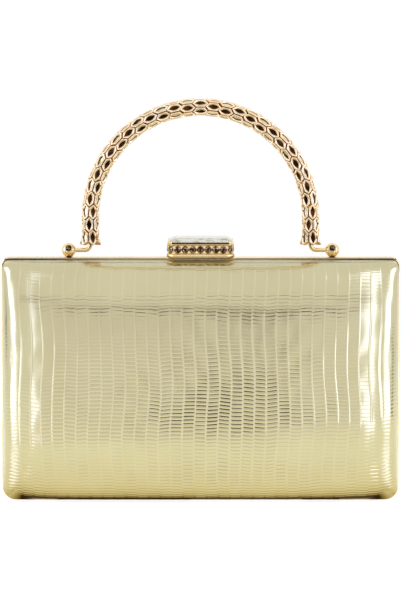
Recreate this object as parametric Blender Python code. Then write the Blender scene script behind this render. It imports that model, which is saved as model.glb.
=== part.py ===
"""A hard box clutch bag: two foil-covered half shells in hinged metal frames, with a chain-clad arch handle on two ball
posts and a jewelled lever clasp. Metres, +Z up, front towards -Y, the bag standing on its frames at z = 0."""

import math

import bmesh
import bpy
from mathutils import Vector

# Whole bag
BAG_WIDTH = 0.200
BAG_HEIGHT = 0.123
BAG_DEPTH = 0.055
FIT = 0.0003

# Frame halves: an L-shaped lip, a slot that takes the shell's rim, and an inner flange
FRAME_DEPTH = 0.0036
TOP_CORNER_RADIUS = 0.0045
BOTTOM_CORNER_RADIUS = 0.0070
LIP_STEP = 0.0010
LIP_CHAMFER = 0.0004
WEB_THICKNESS = 0.0013
INNER_FLANGE = 0.0009

# Half shells with the foil cover outside and the lining inside
COVER_WALL = 0.0004
SHELL_WALL = 0.0010
LINING_WALL = 0.0005
LINING_GAP = 0.0006
STRAIGHT_WALL = 0.0030
ACROSS_POWER = 6
UP_POWER = 4
CORNER_LEAST = 0.0003

# Bottom hinges
HINGE_LENGTH = 0.0180
HINGE_FROM_SIDE = 0.0400
HINGE_AXIS_HEIGHT = 0.0013
KNUCKLE_RADIUS = 0.00115
MIDDLE_KNUCKLE = 0.0062
HINGE_PIN_RADIUS = 0.0005
HINGE_PIN_SHORTER = 0.0006
BEVEL_ANGLE = math.radians(42)

# Handle posts
POST_FROM_LEG = 0.0107
POST_SETBACK = 0.0018
BALL_RADIUS = 0.0036
BALL_LIFT = 0.0034
STEM_RADIUS = 0.0008
STEM_BEYOND_NUT = 0.0004
NUT_RADIUS = 0.0016
NUT_HEIGHT = 0.0016
POST_STONE_RADIUS = 0.00155
POST_STONE_TILT = math.radians(22)
POST_STONE_SEAT = 0.0012
POST_STONE_STANDS = 0.0004
POST_STONE_TABLE_SHARE = 0.6

# Arch handle
CORE_RADIUS = 0.0011
CORE_PAST_CENTRE = 0.0010
BEND_RADIUS = 0.0030
ARCH_RADIUS = 0.0552
ARCH_RISE = 0.0165
TUBE_START = 0.0034
LINK_COUNT = 31
PETAL_COUNT = 6
PETAL_CREST = 0.0044
PETAL_VALLEY = 0.0038
PETAL_TIP = 0.0037
PETAL_NOTCH = 0.0033
LINK_BORE_GAP = 0.0004

# Jewelled clasp: sizes across its octagon are half widths
CLASP_HALF_LENGTH = 0.0170
CLASP_HALF_DEPTH = 0.0090
CLASP_CORNER = 0.0033
CLASP_LIFT = 0.0004
LOWER_FLANGE = 0.0016
BAND_HEIGHT = 0.0044
UPPER_FLANGE = 0.0012
FLANGE_EDGE = 0.0004
BAND_INSET = 0.0004
BAND_THICKNESS = 0.0011
STONE_RISE = 0.0006
STONE_BEVEL_SHARE = 0.3
BEZEL_WALL = 0.0014
CEILING = 0.0009
GEM_SEAT = 0.0011
GEM_INSET = 0.0007
GEM_SHOULDER = 0.0022
GEM_GIRDLE = 0.0006
GEM_CROWN = 0.0018
GEM_STEP_SHARE = 0.6
GEM_TABLE_INSET = 0.0036
CLAW_WIDTH = 0.0022
CLAW_THICKNESS = 0.0008
CLAW_OVERLAP = 0.0012

# Lever, bracket, spring and strike plate under the clasp
LEVER_AXIS_SETBACK = 0.0020
LEVER_AXIS_LIFT = 0.0032
LEVER_PIN_RADIUS = 0.00075
RIB_PLACE = 0.0102
RIB_THICKNESS = 0.0016
RIB_HALF_DEPTH = 0.0020
RIB_BELOW_AXIS = 0.00155
PIN_PAST_RIB = 0.0006
EAR_PLACE = 0.0075
EAR_THICKNESS = 0.0014
EAR_RADIUS = 0.0015
BRACKET_LENGTH = 0.0264
BRACKET_DEPTH = 0.0030
BRACKET_PLATE = 0.0008
RIVET_PLACE = 0.0118
RIVET_RADIUS = 0.0008
RIVET_LENGTH = 0.0009
HOOK_LENGTH = 0.0100
HOOK_THICKNESS = 0.0010
HOOK_PLACE = 0.0022
STRIKE_LENGTH = 0.0120
STRIKE_DEPTH = 0.0024
STRIKE_PLATE = 0.0006
STRIKE_RIDGE = 0.0006
STRIKE_RIDGE_RISE = 0.0001
SPRING_WIRE_RADIUS = 0.00025
SPRING_PITCH = 0.0010
SPRING_TURNS = 5
SPRING_LEG = 0.0028

# Rounding, in sides and steps
CORNER_STEPS = 5
BALL_SIDES = 14
BALL_RINGS = 7
ROD_SIDES = 12
ARCH_STEPS = 26
BEND_STEPS = 4
SPRING_POINTS_A_TURN = 8

# How far a cutter runs past what it cuts, and how deep joined shapes sink into each other
OVERRUN = 0.0010
SINK = 0.0002

FACE_SHARES = (0, 0.35, 0.62, 0.80, 0.92, 1)
LINING_SHARES = (0, 0.45, 0.80, 1)
LINK_STATION_SHARES = (-0.5, 0, 0.5)
LINK_TURN_SHARE = 0.5

# Sizes that follow from those above
HALF_WIDTH = BAG_WIDTH / 2
HALF_HEIGHT = BAG_HEIGHT / 2
PARTING = FIT / 2
LIP = LIP_STEP + COVER_WALL
SLOT = SHELL_WALL + 2 * FIT
FRAME_THICKNESS = LIP + SLOT + INNER_FLANGE
FRONT_OF_WEB = PARTING + WEB_THICKNESS
COVER_START = FRAME_DEPTH + FIT
SHOULDER = COVER_START + STRAIGHT_WALL
CROWN = BAG_DEPTH / 2 - SHOULDER
SHELL_INSET = LIP_STEP + COVER_WALL + FIT
LINING_INSET = SHELL_INSET + SHELL_WALL + LINING_GAP
HINGE_AXIS = Vector((0, 0, HINGE_AXIS_HEIGHT))
BALL_HEIGHT = BAG_HEIGHT + BALL_LIFT
POST_PLACE = ARCH_RADIUS + POST_FROM_LEG
HANDLE_AXIS = Vector((0, POST_SETBACK, BALL_HEIGHT))
CLASP_BOTTOM = BAG_HEIGHT + CLASP_LIFT
BAND_BOTTOM = CLASP_BOTTOM + LOWER_FLANGE
BAND_TOP = BAND_BOTTOM + BAND_HEIGHT
CLASP_TOP = BAND_TOP + UPPER_FLANGE
BAND_SIZE_INSET = BAND_INSET + BAND_THICKNESS
WAIST_INSET = BAND_SIZE_INSET + FIT
CAVITY_INSET = WAIST_INSET + BEZEL_WALL
SEAT_FLOOR = CLASP_TOP - GEM_SEAT
CAVITY_TOP = SEAT_FLOOR - CEILING
GEM_SEAT_INSET = GEM_INSET + GEM_SHOULDER
LEVER_AXIS = Vector((0, LEVER_AXIS_SETBACK, BAG_HEIGHT + LEVER_AXIS_LIFT))
BRACKET_BOTTOM = BAG_HEIGHT + FIT
BRACKET_TOP = BRACKET_BOTTOM + BRACKET_PLATE
LEG_LENGTH = ARCH_RISE - TUBE_START
TUBE_LENGTH = 2 * LEG_LENGTH + math.pi * ARCH_RADIUS
LINK_PITCH = TUBE_LENGTH / LINK_COUNT


def clear_scene():
    for obj in list(bpy.data.objects):
        bpy.data.objects.remove(obj, do_unlink=True)


def finish(name, colour, roughness, metallic, transmission=0.0):
    material = bpy.data.materials.new(name)
    material.use_nodes = True
    shader = material.node_tree.nodes["Principled BSDF"]
    shader.inputs["Base Color"].default_value = (*colour, 1.0)
    shader.inputs["Roughness"].default_value = roughness
    shader.inputs["Metallic"].default_value = metallic
    shader.inputs["Transmission Weight"].default_value = transmission
    return material


def loft(mesh, rings, closed=False):
    """Skins a row of rings that have one number of points. The end rings are capped, unless the row closes on itself."""
    loops = [[mesh.verts.new(point) for point in ring] for ring in rings]
    followers = loops[1:] + loops[:1] if closed else loops[1:]
    for near, far in zip(loops, followers):
        for i, corner in enumerate(near):
            mesh.faces.new((near[i - 1], corner, far[i], far[i - 1]))
    if not closed:
        mesh.faces.new(loops[0])
        mesh.faces.new(loops[-1])


def block(mesh, low, high):
    loft(mesh, [[(low[0], low[1], z), (high[0], low[1], z), (high[0], high[1], z), (low[0], high[1], z)]
                for z in (low[2], high[2])])


def circle(centre, first, second, radius, sides, turn=0.0):
    """Points of a circle in the plane of two unit vectors."""
    angles = (2 * math.pi * (i + turn) / sides for i in range(sides))
    return [centre + first * (radius * math.cos(a)) + second * (radius * math.sin(a)) for a in angles]


def rod(mesh, start, end, radius, sides=ROD_SIDES):
    start, end = Vector(start), Vector(end)
    along = (end - start).normalized()
    first = along.orthogonal().normalized()
    second = along.cross(first)
    loft(mesh, [circle(place, first, second, radius, sides, turn=0.5) for place in (start, end)])


def new_object(name, mesh, at, pivot):
    """Closes a bmesh into an object whose origin is at a given place, under the empty of the half it moves with."""
    bmesh.ops.recalc_face_normals(mesh, faces=mesh.faces)
    bmesh.ops.translate(mesh, verts=mesh.verts, vec=-Vector(at))
    data = bpy.data.meshes.new(name)
    mesh.to_mesh(data)
    mesh.free()
    obj = bpy.data.objects.new(name, data)
    bpy.context.collection.objects.link(obj)
    obj.parent = pivot
    obj.location = Vector(at) - (pivot.location if pivot else Vector())
    return obj


def piece(name, mesh, material, at=(0, 0, 0), pivot=None, sharp_angle=math.radians(35)):
    obj = new_object(name, mesh, at, pivot)
    obj.data.materials.append(material)
    obj.data.shade_smooth()
    obj.data.set_sharp_from_angle(angle=sharp_angle)
    return obj


def helper(name, mesh):
    """A cutter, or a shape that a Boolean joins on. It isn't part of the bag."""
    obj = new_object(name, mesh, (0, 0, 0), None)
    obj.hide_render = True
    obj.display_type = "WIRE"
    return obj


def combine(obj, operation, *helpers):
    for tool in helpers:
        modifier = obj.modifiers.new(f"{operation.lower()} {tool.name}", "BOOLEAN")
        modifier.operation = operation
        modifier.solver = "EXACT"
        modifier.object = tool


def pivot_empty(name, at, parent=None):
    empty = bpy.data.objects.new(name, None)
    bpy.context.collection.objects.link(empty)
    empty.location = at
    empty.parent = parent
    return empty


# Rounded rectangles that the frames and shells share

def corner_radius(z, inset):
    outer = TOP_CORNER_RADIUS if z > 0 else BOTTOM_CORNER_RADIUS
    return max(outer - inset, CORNER_LEAST)


def outline(inset):
    """The bag's rounded outline in X and Z from its centre, drawn in by an inset."""
    half_x, half_z = HALF_WIDTH - inset, HALF_HEIGHT - inset
    points = []
    for quarter, (side_x, side_z) in enumerate(((1, 1), (-1, 1), (-1, -1), (1, -1))):
        radius = corner_radius(side_z, inset)
        for step in range(CORNER_STEPS + 1):
            angle = math.pi / 2 * (quarter + step / CORNER_STEPS)
            points.append((side_x * (half_x - radius) + radius * math.cos(angle),
                           side_z * (half_z - radius) + radius * math.sin(angle)))
    return points


def round_corner(x, z, inset):
    """Carries a point of a sharp rectangle into the rounded one."""
    radius = corner_radius(z, inset)
    middle_x, middle_z = HALF_WIDTH - inset - radius, HALF_HEIGHT - inset - radius
    out_x, out_z = (abs(x) - middle_x) / radius, (abs(z) - middle_z) / radius
    if out_x <= 0 or out_z <= 0:
        return x, z
    turn = math.pi / 4 * (out_z / out_x if out_x >= out_z else 2 - out_x / out_z)
    reach = radius * max(out_x, out_z)
    return (math.copysign(middle_x + reach * math.cos(turn), x),
            math.copysign(middle_z + reach * math.sin(turn), z))


def half_stations(half, radii, inset, shares):
    """Places from the middle of a side to its end, with one at each corner radius and one halfway round it."""
    ends = sorted({half - max(radius, inset + CORNER_LEAST) for radius in radii})
    rounded = (ends[-1] + half - inset) / 2
    return [share * ends[0] for share in shares] + ends[1:] + [rounded, half - inset]


def crown_share(x, z, inset):
    """How much of the crown's height the pillow has here: 1 in the middle, 0 all round its edge."""
    across = 1 - abs(x / (HALF_WIDTH - inset)) ** ACROSS_POWER
    up = 1 - abs(z / (HALF_HEIGHT - inset)) ** UP_POWER
    return math.sqrt(max(across, 0) * max(up, 0))


def tray(side, start, inset, wall, shares):
    """A pillow-shaped tray whose rim is at a depth from the parting plane. side is 1 for the rear and -1 for the front."""
    mesh = bmesh.new()
    rims = []
    for skin_inset, crown in ((inset, CROWN - inset + LIP_STEP), (inset + wall, CROWN - inset + LIP_STEP - wall)):
        right = half_stations(HALF_WIDTH, (TOP_CORNER_RADIUS, BOTTOM_CORNER_RADIUS), skin_inset, shares)
        upper = half_stations(HALF_HEIGHT, (TOP_CORNER_RADIUS,), skin_inset, shares)
        lower = half_stations(HALF_HEIGHT, (BOTTOM_CORNER_RADIUS,), skin_inset, shares)
        columns = [-x for x in reversed(right[1:])] + right
        rows = [-z for z in reversed(lower[1:])] + upper
        grid = []
        for x in columns:
            line = []
            for z in rows:
                place = round_corner(x, z, skin_inset)
                depth = SHOULDER + crown * crown_share(x, z, skin_inset)
                line.append(mesh.verts.new((place[0], side * depth, place[1] + HALF_HEIGHT)))
            grid.append(line)
        for near, far in zip(grid, grid[1:]):
            for i in range(len(rows) - 1):
                mesh.faces.new((near[i], near[i + 1], far[i + 1], far[i]))
        edge = grid[0] + [line[-1] for line in grid[1:]] + grid[-1][-2::-1] + [line[0] for line in grid[-2:0:-1]]
        rim = [mesh.verts.new((vert.co.x, side * start, vert.co.z)) for vert in edge]
        for i in range(len(edge)):
            mesh.faces.new((edge[i - 1], edge[i], rim[i], rim[i - 1]))
        rims.append(rim)
    outer, inner = rims
    for i in range(len(outer)):
        mesh.faces.new((outer[i - 1], outer[i], inner[i], inner[i - 1]))
    return mesh


def frame_ring(side):
    """One frame half: its slot opens away from the parting plane and takes the shell's rim."""
    profile = ((0, PARTING), (0, FRAME_DEPTH - LIP_CHAMFER), (LIP_CHAMFER, FRAME_DEPTH), (LIP, FRAME_DEPTH),
               (LIP, FRONT_OF_WEB), (LIP + SLOT, FRONT_OF_WEB), (LIP + SLOT, FRAME_DEPTH),
               (FRAME_THICKNESS, FRAME_DEPTH), (FRAME_THICKNESS, PARTING))
    mesh = bmesh.new()
    loft(mesh, [[(x, side * depth, z + HALF_HEIGHT) for x, z in outline(inset)] for inset, depth in profile],
         closed=True)
    return mesh


# Bottom hinges

def hinge_centres():
    return HINGE_FROM_SIDE - HALF_WIDTH, HALF_WIDTH - HINGE_FROM_SIDE


def frame_cutters():
    """The cuts that both frame halves share: a bevel under the hinge axis, and a pocket for each hinge."""
    half_length = HINGE_LENGTH / 2 + FIT
    below = HINGE_AXIS_HEIGHT + OVERRUN
    half_base = below * math.tan(BEVEL_ANGLE)
    past = HALF_WIDTH + OVERRUN
    bevel, pockets, reliefs = bmesh.new(), bmesh.new(), bmesh.new()
    loft(bevel, [[(x, 0, HINGE_AXIS_HEIGHT), (x, half_base, -OVERRUN), (x, -half_base, -OVERRUN)]
                 for x in (-past, past)])
    for x in hinge_centres():
        depth = FRAME_DEPTH + OVERRUN
        block(pockets, (x - half_length, -depth, -OVERRUN), (x + half_length, depth, LIP + SINK))
        rod(reliefs, (x - half_length, 0, HINGE_AXIS_HEIGHT), (x + half_length, 0, HINGE_AXIS_HEIGHT),
            KNUCKLE_RADIUS + FIT)
    return (helper("hinge_bevel_cutter", bevel), helper("hinge_pocket_cutter", pockets),
            helper("knuckle_relief_cutter", reliefs))


def knuckle_section(side):
    """A knuckle and the arm that joins it to its leaf, as Y and Z from the hinge axis."""
    low = -KNUCKLE_RADIUS
    top = LIP - HINGE_AXIS_HEIGHT
    arm_end = KNUCKLE_RADIUS + FIT + SINK
    last_angle = math.pi - math.asin(top / KNUCKLE_RADIUS)
    points = [(arm_end, low)]
    for step in range(ROD_SIDES + 1):
        angle = -math.pi / 2 - step / ROD_SIDES * (1.5 * math.pi - (math.pi - last_angle))
        points.append((KNUCKLE_RADIUS * math.cos(angle), KNUCKLE_RADIUS * math.sin(angle)))
    points.append((arm_end, top))
    return [(side * y, z) for y, z in points]


def knuckle_spans(centre, side):
    """The front leaf has the two outer knuckles, and the rear leaf the one between them."""
    inner = MIDDLE_KNUCKLE / 2
    outer = HINGE_LENGTH / 2
    if side > 0:
        return [(centre - inner, centre + inner)]
    return [(centre - outer, centre - inner - FIT), (centre + inner + FIT, centre + outer)]


def hinge_leaf(name, centre, side, material, pivot):
    leaf, knuckles, bore = bmesh.new(), bmesh.new(), bmesh.new()
    bottom = HINGE_AXIS_HEIGHT - KNUCKLE_RADIUS
    near, far = sorted((side * (KNUCKLE_RADIUS + FIT), side * FRAME_DEPTH))
    half = HINGE_LENGTH / 2
    block(leaf, (centre - half, near, bottom), (centre + half, far, LIP))
    for start, end in knuckle_spans(centre, side):
        loft(knuckles, [[(x, y, z + HINGE_AXIS_HEIGHT) for y, z in knuckle_section(side)] for x in (start, end)])
    rod(bore, (centre - half - OVERRUN, 0, HINGE_AXIS_HEIGHT), (centre + half + OVERRUN, 0, HINGE_AXIS_HEIGHT),
        HINGE_PIN_RADIUS + FIT)
    at = (centre, 0, HINGE_AXIS_HEIGHT)
    obj = piece(name, leaf, material, at, pivot)
    combine(obj, "UNION", helper(f"{name}_knuckles", knuckles))
    combine(obj, "DIFFERENCE", helper(f"{name}_bore", bore))


def hinge_pin(name, centre, material):
    mesh = bmesh.new()
    half = (HINGE_LENGTH - HINGE_PIN_SHORTER) / 2
    rod(mesh, (centre - half, 0, HINGE_AXIS_HEIGHT), (centre + half, 0, HINGE_AXIS_HEIGHT), HINGE_PIN_RADIUS)
    piece(name, mesh, material, (centre, 0, HINGE_AXIS_HEIGHT))


# Handle posts

def post_centres():
    return -POST_PLACE, POST_PLACE


def stem_bottom():
    return BAG_HEIGHT - FRAME_THICKNESS - FIT - NUT_HEIGHT - STEM_BEYOND_NUT


def stem_cutter():
    mesh = bmesh.new()
    for x in post_centres():
        rod(mesh, (x, POST_SETBACK, BAG_HEIGHT - FRAME_THICKNESS - OVERRUN),
            (x, POST_SETBACK, BAG_HEIGHT + OVERRUN), STEM_RADIUS + FIT)
    return helper("stem_hole_cutter", mesh)


def handle_post(name, x, material):
    """A ball with a flat foot on the frame and a stem through it, bored from the side that faces the handle's leg."""
    across, forward, up = Vector((1, 0, 0)), Vector((0, 1, 0)), Vector((0, 0, 1))
    centre = Vector((x, POST_SETBACK, BALL_HEIGHT))
    foot = BAG_HEIGHT + FIT
    lowest = math.asin((foot - BALL_HEIGHT) / BALL_RADIUS)
    rings = [circle(Vector((x, POST_SETBACK, z)), across, forward, STEM_RADIUS, BALL_SIDES)
             for z in (stem_bottom(), foot)]
    for step in range(BALL_RINGS):
        angle = lowest + (math.pi / 2 - lowest) * step / BALL_RINGS
        rings.append(circle(centre + up * (BALL_RADIUS * math.sin(angle)), across, forward,
                            BALL_RADIUS * math.cos(angle), BALL_SIDES))
    mesh, bore, seat = bmesh.new(), bmesh.new(), bmesh.new()
    loft(mesh, rings)
    inward = -math.copysign(1, x)
    rod(bore, centre - across * inward * (CORE_PAST_CENTRE + FIT), centre + across * inward * (BALL_RADIUS + OVERRUN),
        CORE_RADIUS + FIT)
    facing = stone_facing()
    rod(seat, centre + facing * (BALL_RADIUS - POST_STONE_SEAT), centre + facing * (BALL_RADIUS + OVERRUN),
        POST_STONE_RADIUS + FIT)
    obj = piece(name, mesh, material, centre)
    combine(obj, "DIFFERENCE", helper(f"{name}_bore", bore), helper(f"{name}_stone_seat", seat))


def stone_facing():
    """The way that a post's stone faces: forwards and tilted up."""
    return Vector((0, -math.cos(POST_STONE_TILT), math.sin(POST_STONE_TILT)))


def post_stone(name, x, material):
    """A round faceted stone in the front of the ball, its table towards the viewer."""
    across, facing = Vector((1, 0, 0)), stone_facing()
    centre = Vector((x, POST_SETBACK, BALL_HEIGHT))
    back = BALL_RADIUS - POST_STONE_SEAT + FIT
    front = BALL_RADIUS + POST_STONE_STANDS
    girdle = (back + front) / 2
    rings = [circle(centre + facing * reach, across, across.cross(facing), radius, BALL_SIDES)
             for reach, radius in ((back, POST_STONE_RADIUS), (girdle, POST_STONE_RADIUS),
                                   (front, POST_STONE_RADIUS * POST_STONE_TABLE_SHARE))]
    mesh = bmesh.new()
    loft(mesh, rings)
    piece(name, mesh, material, centre + facing * girdle, sharp_angle=0)


def post_nut(name, x, material):
    across, forward = Vector((1, 0, 0)), Vector((0, 1, 0))
    top = BAG_HEIGHT - FRAME_THICKNESS - FIT
    hexagon = 6
    rings = [circle(Vector((x, POST_SETBACK, z)), across, forward, radius, hexagon)
             for z, radius in ((top, NUT_RADIUS), (top - NUT_HEIGHT, NUT_RADIUS))]
    mesh, bore = bmesh.new(), bmesh.new()
    loft(mesh, rings)
    rod(bore, (x, POST_SETBACK, top - NUT_HEIGHT - OVERRUN), (x, POST_SETBACK, top + OVERRUN), STEM_RADIUS + FIT)
    obj = piece(name, mesh, material, (x, POST_SETBACK, top))
    combine(obj, "DIFFERENCE", helper(f"{name}_bore", bore))


# Arch handle

def arch_place(distance):
    """Centre and direction of the chain tube, by the distance along it from its left end."""
    if distance < LEG_LENGTH:
        return Vector((-ARCH_RADIUS, 0, TUBE_START + distance)), Vector((0, 0, 1))
    angle = (distance - LEG_LENGTH) / ARCH_RADIUS
    if angle > math.pi:
        return Vector((ARCH_RADIUS, 0, TUBE_START + TUBE_LENGTH - distance)), Vector((0, 0, -1))
    return (Vector((-ARCH_RADIUS * math.cos(angle), 0, ARCH_RISE + ARCH_RADIUS * math.sin(angle))),
            Vector((math.sin(angle), 0, math.cos(angle))))


def handle_link(index, material, pivot):
    """One ring of the chain tube: petals round a bore, turned half a petal from its neighbours."""
    start = LINK_PITCH * index
    length = LINK_PITCH - FIT
    forward = Vector((0, 1, 0))
    crests = (PETAL_TIP, PETAL_CREST, PETAL_TIP)
    valleys = (PETAL_NOTCH, PETAL_VALLEY, PETAL_NOTCH)
    outer, inner = [], []
    for share, crest, valley in zip(LINK_STATION_SHARES, crests, valleys):
        centre, along = arch_place(start + LINK_PITCH / 2 + share * length)
        centre += HANDLE_AXIS
        sideways = along.cross(forward)
        ring = []
        for i in range(2 * PETAL_COUNT):
            angle = math.pi * (i + LINK_TURN_SHARE) / PETAL_COUNT
            radius = crest if (i + index) % 2 else valley
            ring.append(centre + forward * (radius * math.cos(angle)) + sideways * (radius * math.sin(angle)))
        outer.append(ring)
        inner.append(circle(centre, forward, sideways, CORE_RADIUS + LINK_BORE_GAP, 2 * PETAL_COUNT))
    mesh = bmesh.new()
    loft(mesh, outer + [inner[-1], inner[0]], closed=True)
    at = HANDLE_AXIS + arch_place(start + LINK_PITCH / 2)[0]
    piece(f"handle_link_{index + 1:02d}", mesh, material, at, pivot)


def core_half():
    """The wire from inside the left ball to the top of the arch, from the handle's axis."""
    points = [Vector((-POST_PLACE - CORE_PAST_CENTRE, 0, 0))]
    corner = Vector((-ARCH_RADIUS - BEND_RADIUS, 0, BEND_RADIUS))
    for step in range(BEND_STEPS + 1):
        angle = math.pi / 2 * step / BEND_STEPS
        points.append(corner + Vector((math.sin(angle), 0, -math.cos(angle))) * BEND_RADIUS)
    half_steps = ARCH_STEPS // 2
    for step in range(half_steps + 1):
        angle = math.pi / 2 * step / half_steps
        points.append(Vector((-ARCH_RADIUS * math.cos(angle), 0, ARCH_RISE + ARCH_RADIUS * math.sin(angle))))
    return points


def wire(name, points, radius, resolution, material, at, pivot):
    """A round wire along a row of points, which are given from its origin."""
    data = bpy.data.curves.new(name, "CURVE")
    data.dimensions = "3D"
    data.bevel_depth = radius
    data.bevel_resolution = resolution
    data.use_fill_caps = True
    spline = data.splines.new("POLY")
    spline.points.add(len(points) - 1)
    for point, place in zip(spline.points, points):
        point.co = (*place, 1)
    data.materials.append(material)
    obj = bpy.data.objects.new(name, data)
    bpy.context.collection.objects.link(obj)
    obj.parent = pivot
    obj.location = Vector(at) - (pivot.location if pivot else Vector())
    return obj


def handle_core(material, pivot):
    left = core_half()
    right = [Vector((-point.x, point.y, point.z)) for point in reversed(left[:-1])]
    wire("handle_core", left + right, CORE_RADIUS, 2, material, HANDLE_AXIS, pivot)


# Jewelled clasp

def octagon(inset, z):
    """The clasp's long octagon, drawn in by an inset."""
    x, y = CLASP_HALF_LENGTH - inset, CLASP_HALF_DEPTH - inset
    cut = CLASP_CORNER - inset * (2 - math.sqrt(2))
    return [(x, -y + cut, z), (x, y - cut, z), (x - cut, y, z), (-x + cut, y, z),
            (-x, y - cut, z), (-x, -y + cut, z), (-x + cut, -y, z), (x - cut, -y, z)]


def claws():
    """Four claws that rise from the octagon's cut corners and lean in over the gem."""
    mesh = bmesh.new()
    clear = GEM_INSET - FIT
    heights = (BAND_TOP + FLANGE_EDGE, CLASP_TOP + GEM_GIRDLE + FIT, CLASP_TOP + GEM_GIRDLE + 2 * FIT + CLAW_THICKNESS)
    leans = (0, 0, CLAW_OVERLAP)
    reach = 1 / math.sqrt(2)
    corner = Vector((CLASP_HALF_LENGTH - CLASP_CORNER / 2, CLASP_HALF_DEPTH - CLASP_CORNER / 2, 0))
    for side_x in (-1, 1):
        for side_y in (-1, 1):
            outward = Vector((side_x * reach, side_y * reach, 0))
            along = Vector((-side_y * reach, side_x * reach, 0))
            middle = Vector((side_x * corner.x, side_y * corner.y, 0))
            rings = []
            for height, lean in zip(heights, leans):
                inner = middle - outward * (clear + lean)
                outer = inner + outward * CLAW_THICKNESS
                half = along * (CLAW_WIDTH / 2)
                rings.append([place + Vector((0, 0, height))
                              for place in (inner - half, inner + half, outer + half, outer - half)])
            loft(mesh, rings)
    return mesh


def lever_inside():
    """The two ribs that carry the lever's pin and the hook bar, all hanging from the cavity's ceiling."""
    mesh = bmesh.new()
    top = CAVITY_TOP + SINK
    for side in (-1, 1):
        low_x, high_x = sorted((side * RIB_PLACE, side * (RIB_PLACE + RIB_THICKNESS)))
        block(mesh, (low_x, LEVER_AXIS.y - RIB_HALF_DEPTH, LEVER_AXIS.z - RIB_BELOW_AXIS),
              (high_x, LEVER_AXIS.y + RIB_HALF_DEPTH, top))
    half = HOOK_LENGTH / 2
    block(mesh, (-half, -HOOK_PLACE - HOOK_THICKNESS / 2, CLASP_BOTTOM), (half, -HOOK_PLACE + HOOK_THICKNESS / 2, top))
    return mesh


def clasp_lever(material, pivot):
    mesh = bmesh.new()
    loft(mesh, [octagon(CAVITY_INSET, CAVITY_TOP), octagon(CAVITY_INSET, CLASP_BOTTOM),
                octagon(FLANGE_EDGE, CLASP_BOTTOM), octagon(0, CLASP_BOTTOM + FLANGE_EDGE),
                octagon(0, BAND_BOTTOM - FLANGE_EDGE), octagon(FLANGE_EDGE, BAND_BOTTOM),
                octagon(WAIST_INSET, BAND_BOTTOM), octagon(WAIST_INSET, BAND_TOP),
                octagon(FLANGE_EDGE, BAND_TOP), octagon(0, BAND_TOP + FLANGE_EDGE),
                octagon(0, CLASP_TOP), octagon(GEM_SEAT_INSET - FIT, CLASP_TOP),
                octagon(GEM_SEAT_INSET - FIT, SEAT_FLOOR)])
    obj = piece("clasp_lever", mesh, material, LEVER_AXIS, pivot)
    bore = bmesh.new()
    end = RIB_PLACE + RIB_THICKNESS + SINK
    rod(bore, (-end, LEVER_AXIS.y, LEVER_AXIS.z), (end, LEVER_AXIS.y, LEVER_AXIS.z), LEVER_PIN_RADIUS + FIT)
    combine(obj, "UNION", helper("clasp_claws", claws()), helper("clasp_ribs_and_hook", lever_inside()))
    combine(obj, "DIFFERENCE", helper("lever_pin_bore", bore))


def clasp_crystal(material, pivot):
    """An emerald-cut stone: a shallow pavilion in the seat, the girdle over the flange, the crown and the table."""
    base = CLASP_TOP + FIT
    girdle = base + GEM_GIRDLE
    mesh = bmesh.new()
    loft(mesh, [octagon(GEM_SEAT_INSET, SEAT_FLOOR + FIT), octagon(GEM_SEAT_INSET, base), octagon(GEM_INSET, base),
                octagon(GEM_INSET, girdle), octagon((GEM_INSET + GEM_TABLE_INSET) / 2, girdle + GEM_CROWN * GEM_STEP_SHARE),
                octagon(GEM_TABLE_INSET, girdle + GEM_CROWN)])
    piece("clasp_crystal", mesh, material, (0, 0, base), pivot, sharp_angle=0)


def band_cells():
    """Corners of the stone band's cells: some on each straight side of the octagon and one on each cut corner."""
    corners = octagon(BAND_INSET, 0)
    cells_a_side = (3, 1, 7, 1)
    places = []
    for i, (x, y, _) in enumerate(corners):
        after = corners[(i + 1) % len(corners)]
        count = cells_a_side[i % len(cells_a_side)]
        places += [(x + (after[0] - x) * step / count, y + (after[1] - y) * step / count) for step in range(count)]
    return places


def stone_band(material, pivot):
    """A row of square-set stones round the bezel's waist, each a raised table in its own cell."""
    low, high = BAND_BOTTOM + FIT, BAND_TOP - FIT
    places = band_cells()
    shrink = (CLASP_HALF_LENGTH - BAND_SIZE_INSET) / (CLASP_HALF_LENGTH - BAND_INSET)
    shrink_y = (CLASP_HALF_DEPTH - BAND_SIZE_INSET) / (CLASP_HALF_DEPTH - BAND_INSET)
    mesh = bmesh.new()
    outer = [[mesh.verts.new((x, y, z)) for x, y in places] for z in (low, high)]
    inner = [[mesh.verts.new((x * shrink, y * shrink_y, z)) for x, y in places] for z in (low, high)]
    for i in range(len(places)):
        corners = [outer[0][i - 1], outer[0][i], outer[1][i], outer[1][i - 1]]
        run = Vector(places[i]) - Vector(places[i - 1])
        rise = Vector((run.y, -run.x, 0)).normalized() * STONE_RISE
        middle = sum((corner.co for corner in corners), Vector()) / len(corners)
        table = [mesh.verts.new(corner.co.lerp(middle, STONE_BEVEL_SHARE) + rise) for corner in corners]
        for k in range(len(corners)):
            mesh.faces.new((corners[k - 1], corners[k], table[k], table[k - 1]))
        mesh.faces.new(table)
        mesh.faces.new((inner[0][i - 1], inner[0][i], inner[1][i], inner[1][i - 1]))
        for level in range(2):
            mesh.faces.new((outer[level][i - 1], outer[level][i], inner[level][i], inner[level][i - 1]))
    piece("clasp_stone_band", mesh, material, (0, 0, (low + high) / 2), pivot, sharp_angle=0)


def bracket_middle():
    return PARTING + FIT + BRACKET_DEPTH / 2


def rivet_cutter():
    mesh = bmesh.new()
    for side in (-1, 1):
        rod(mesh, (side * RIVET_PLACE, bracket_middle(), BAG_HEIGHT - RIVET_LENGTH - 2 * FIT),
            (side * RIVET_PLACE, bracket_middle(), BAG_HEIGHT + OVERRUN), RIVET_RADIUS + FIT)
    return helper("rivet_hole_cutter", mesh)


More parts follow.
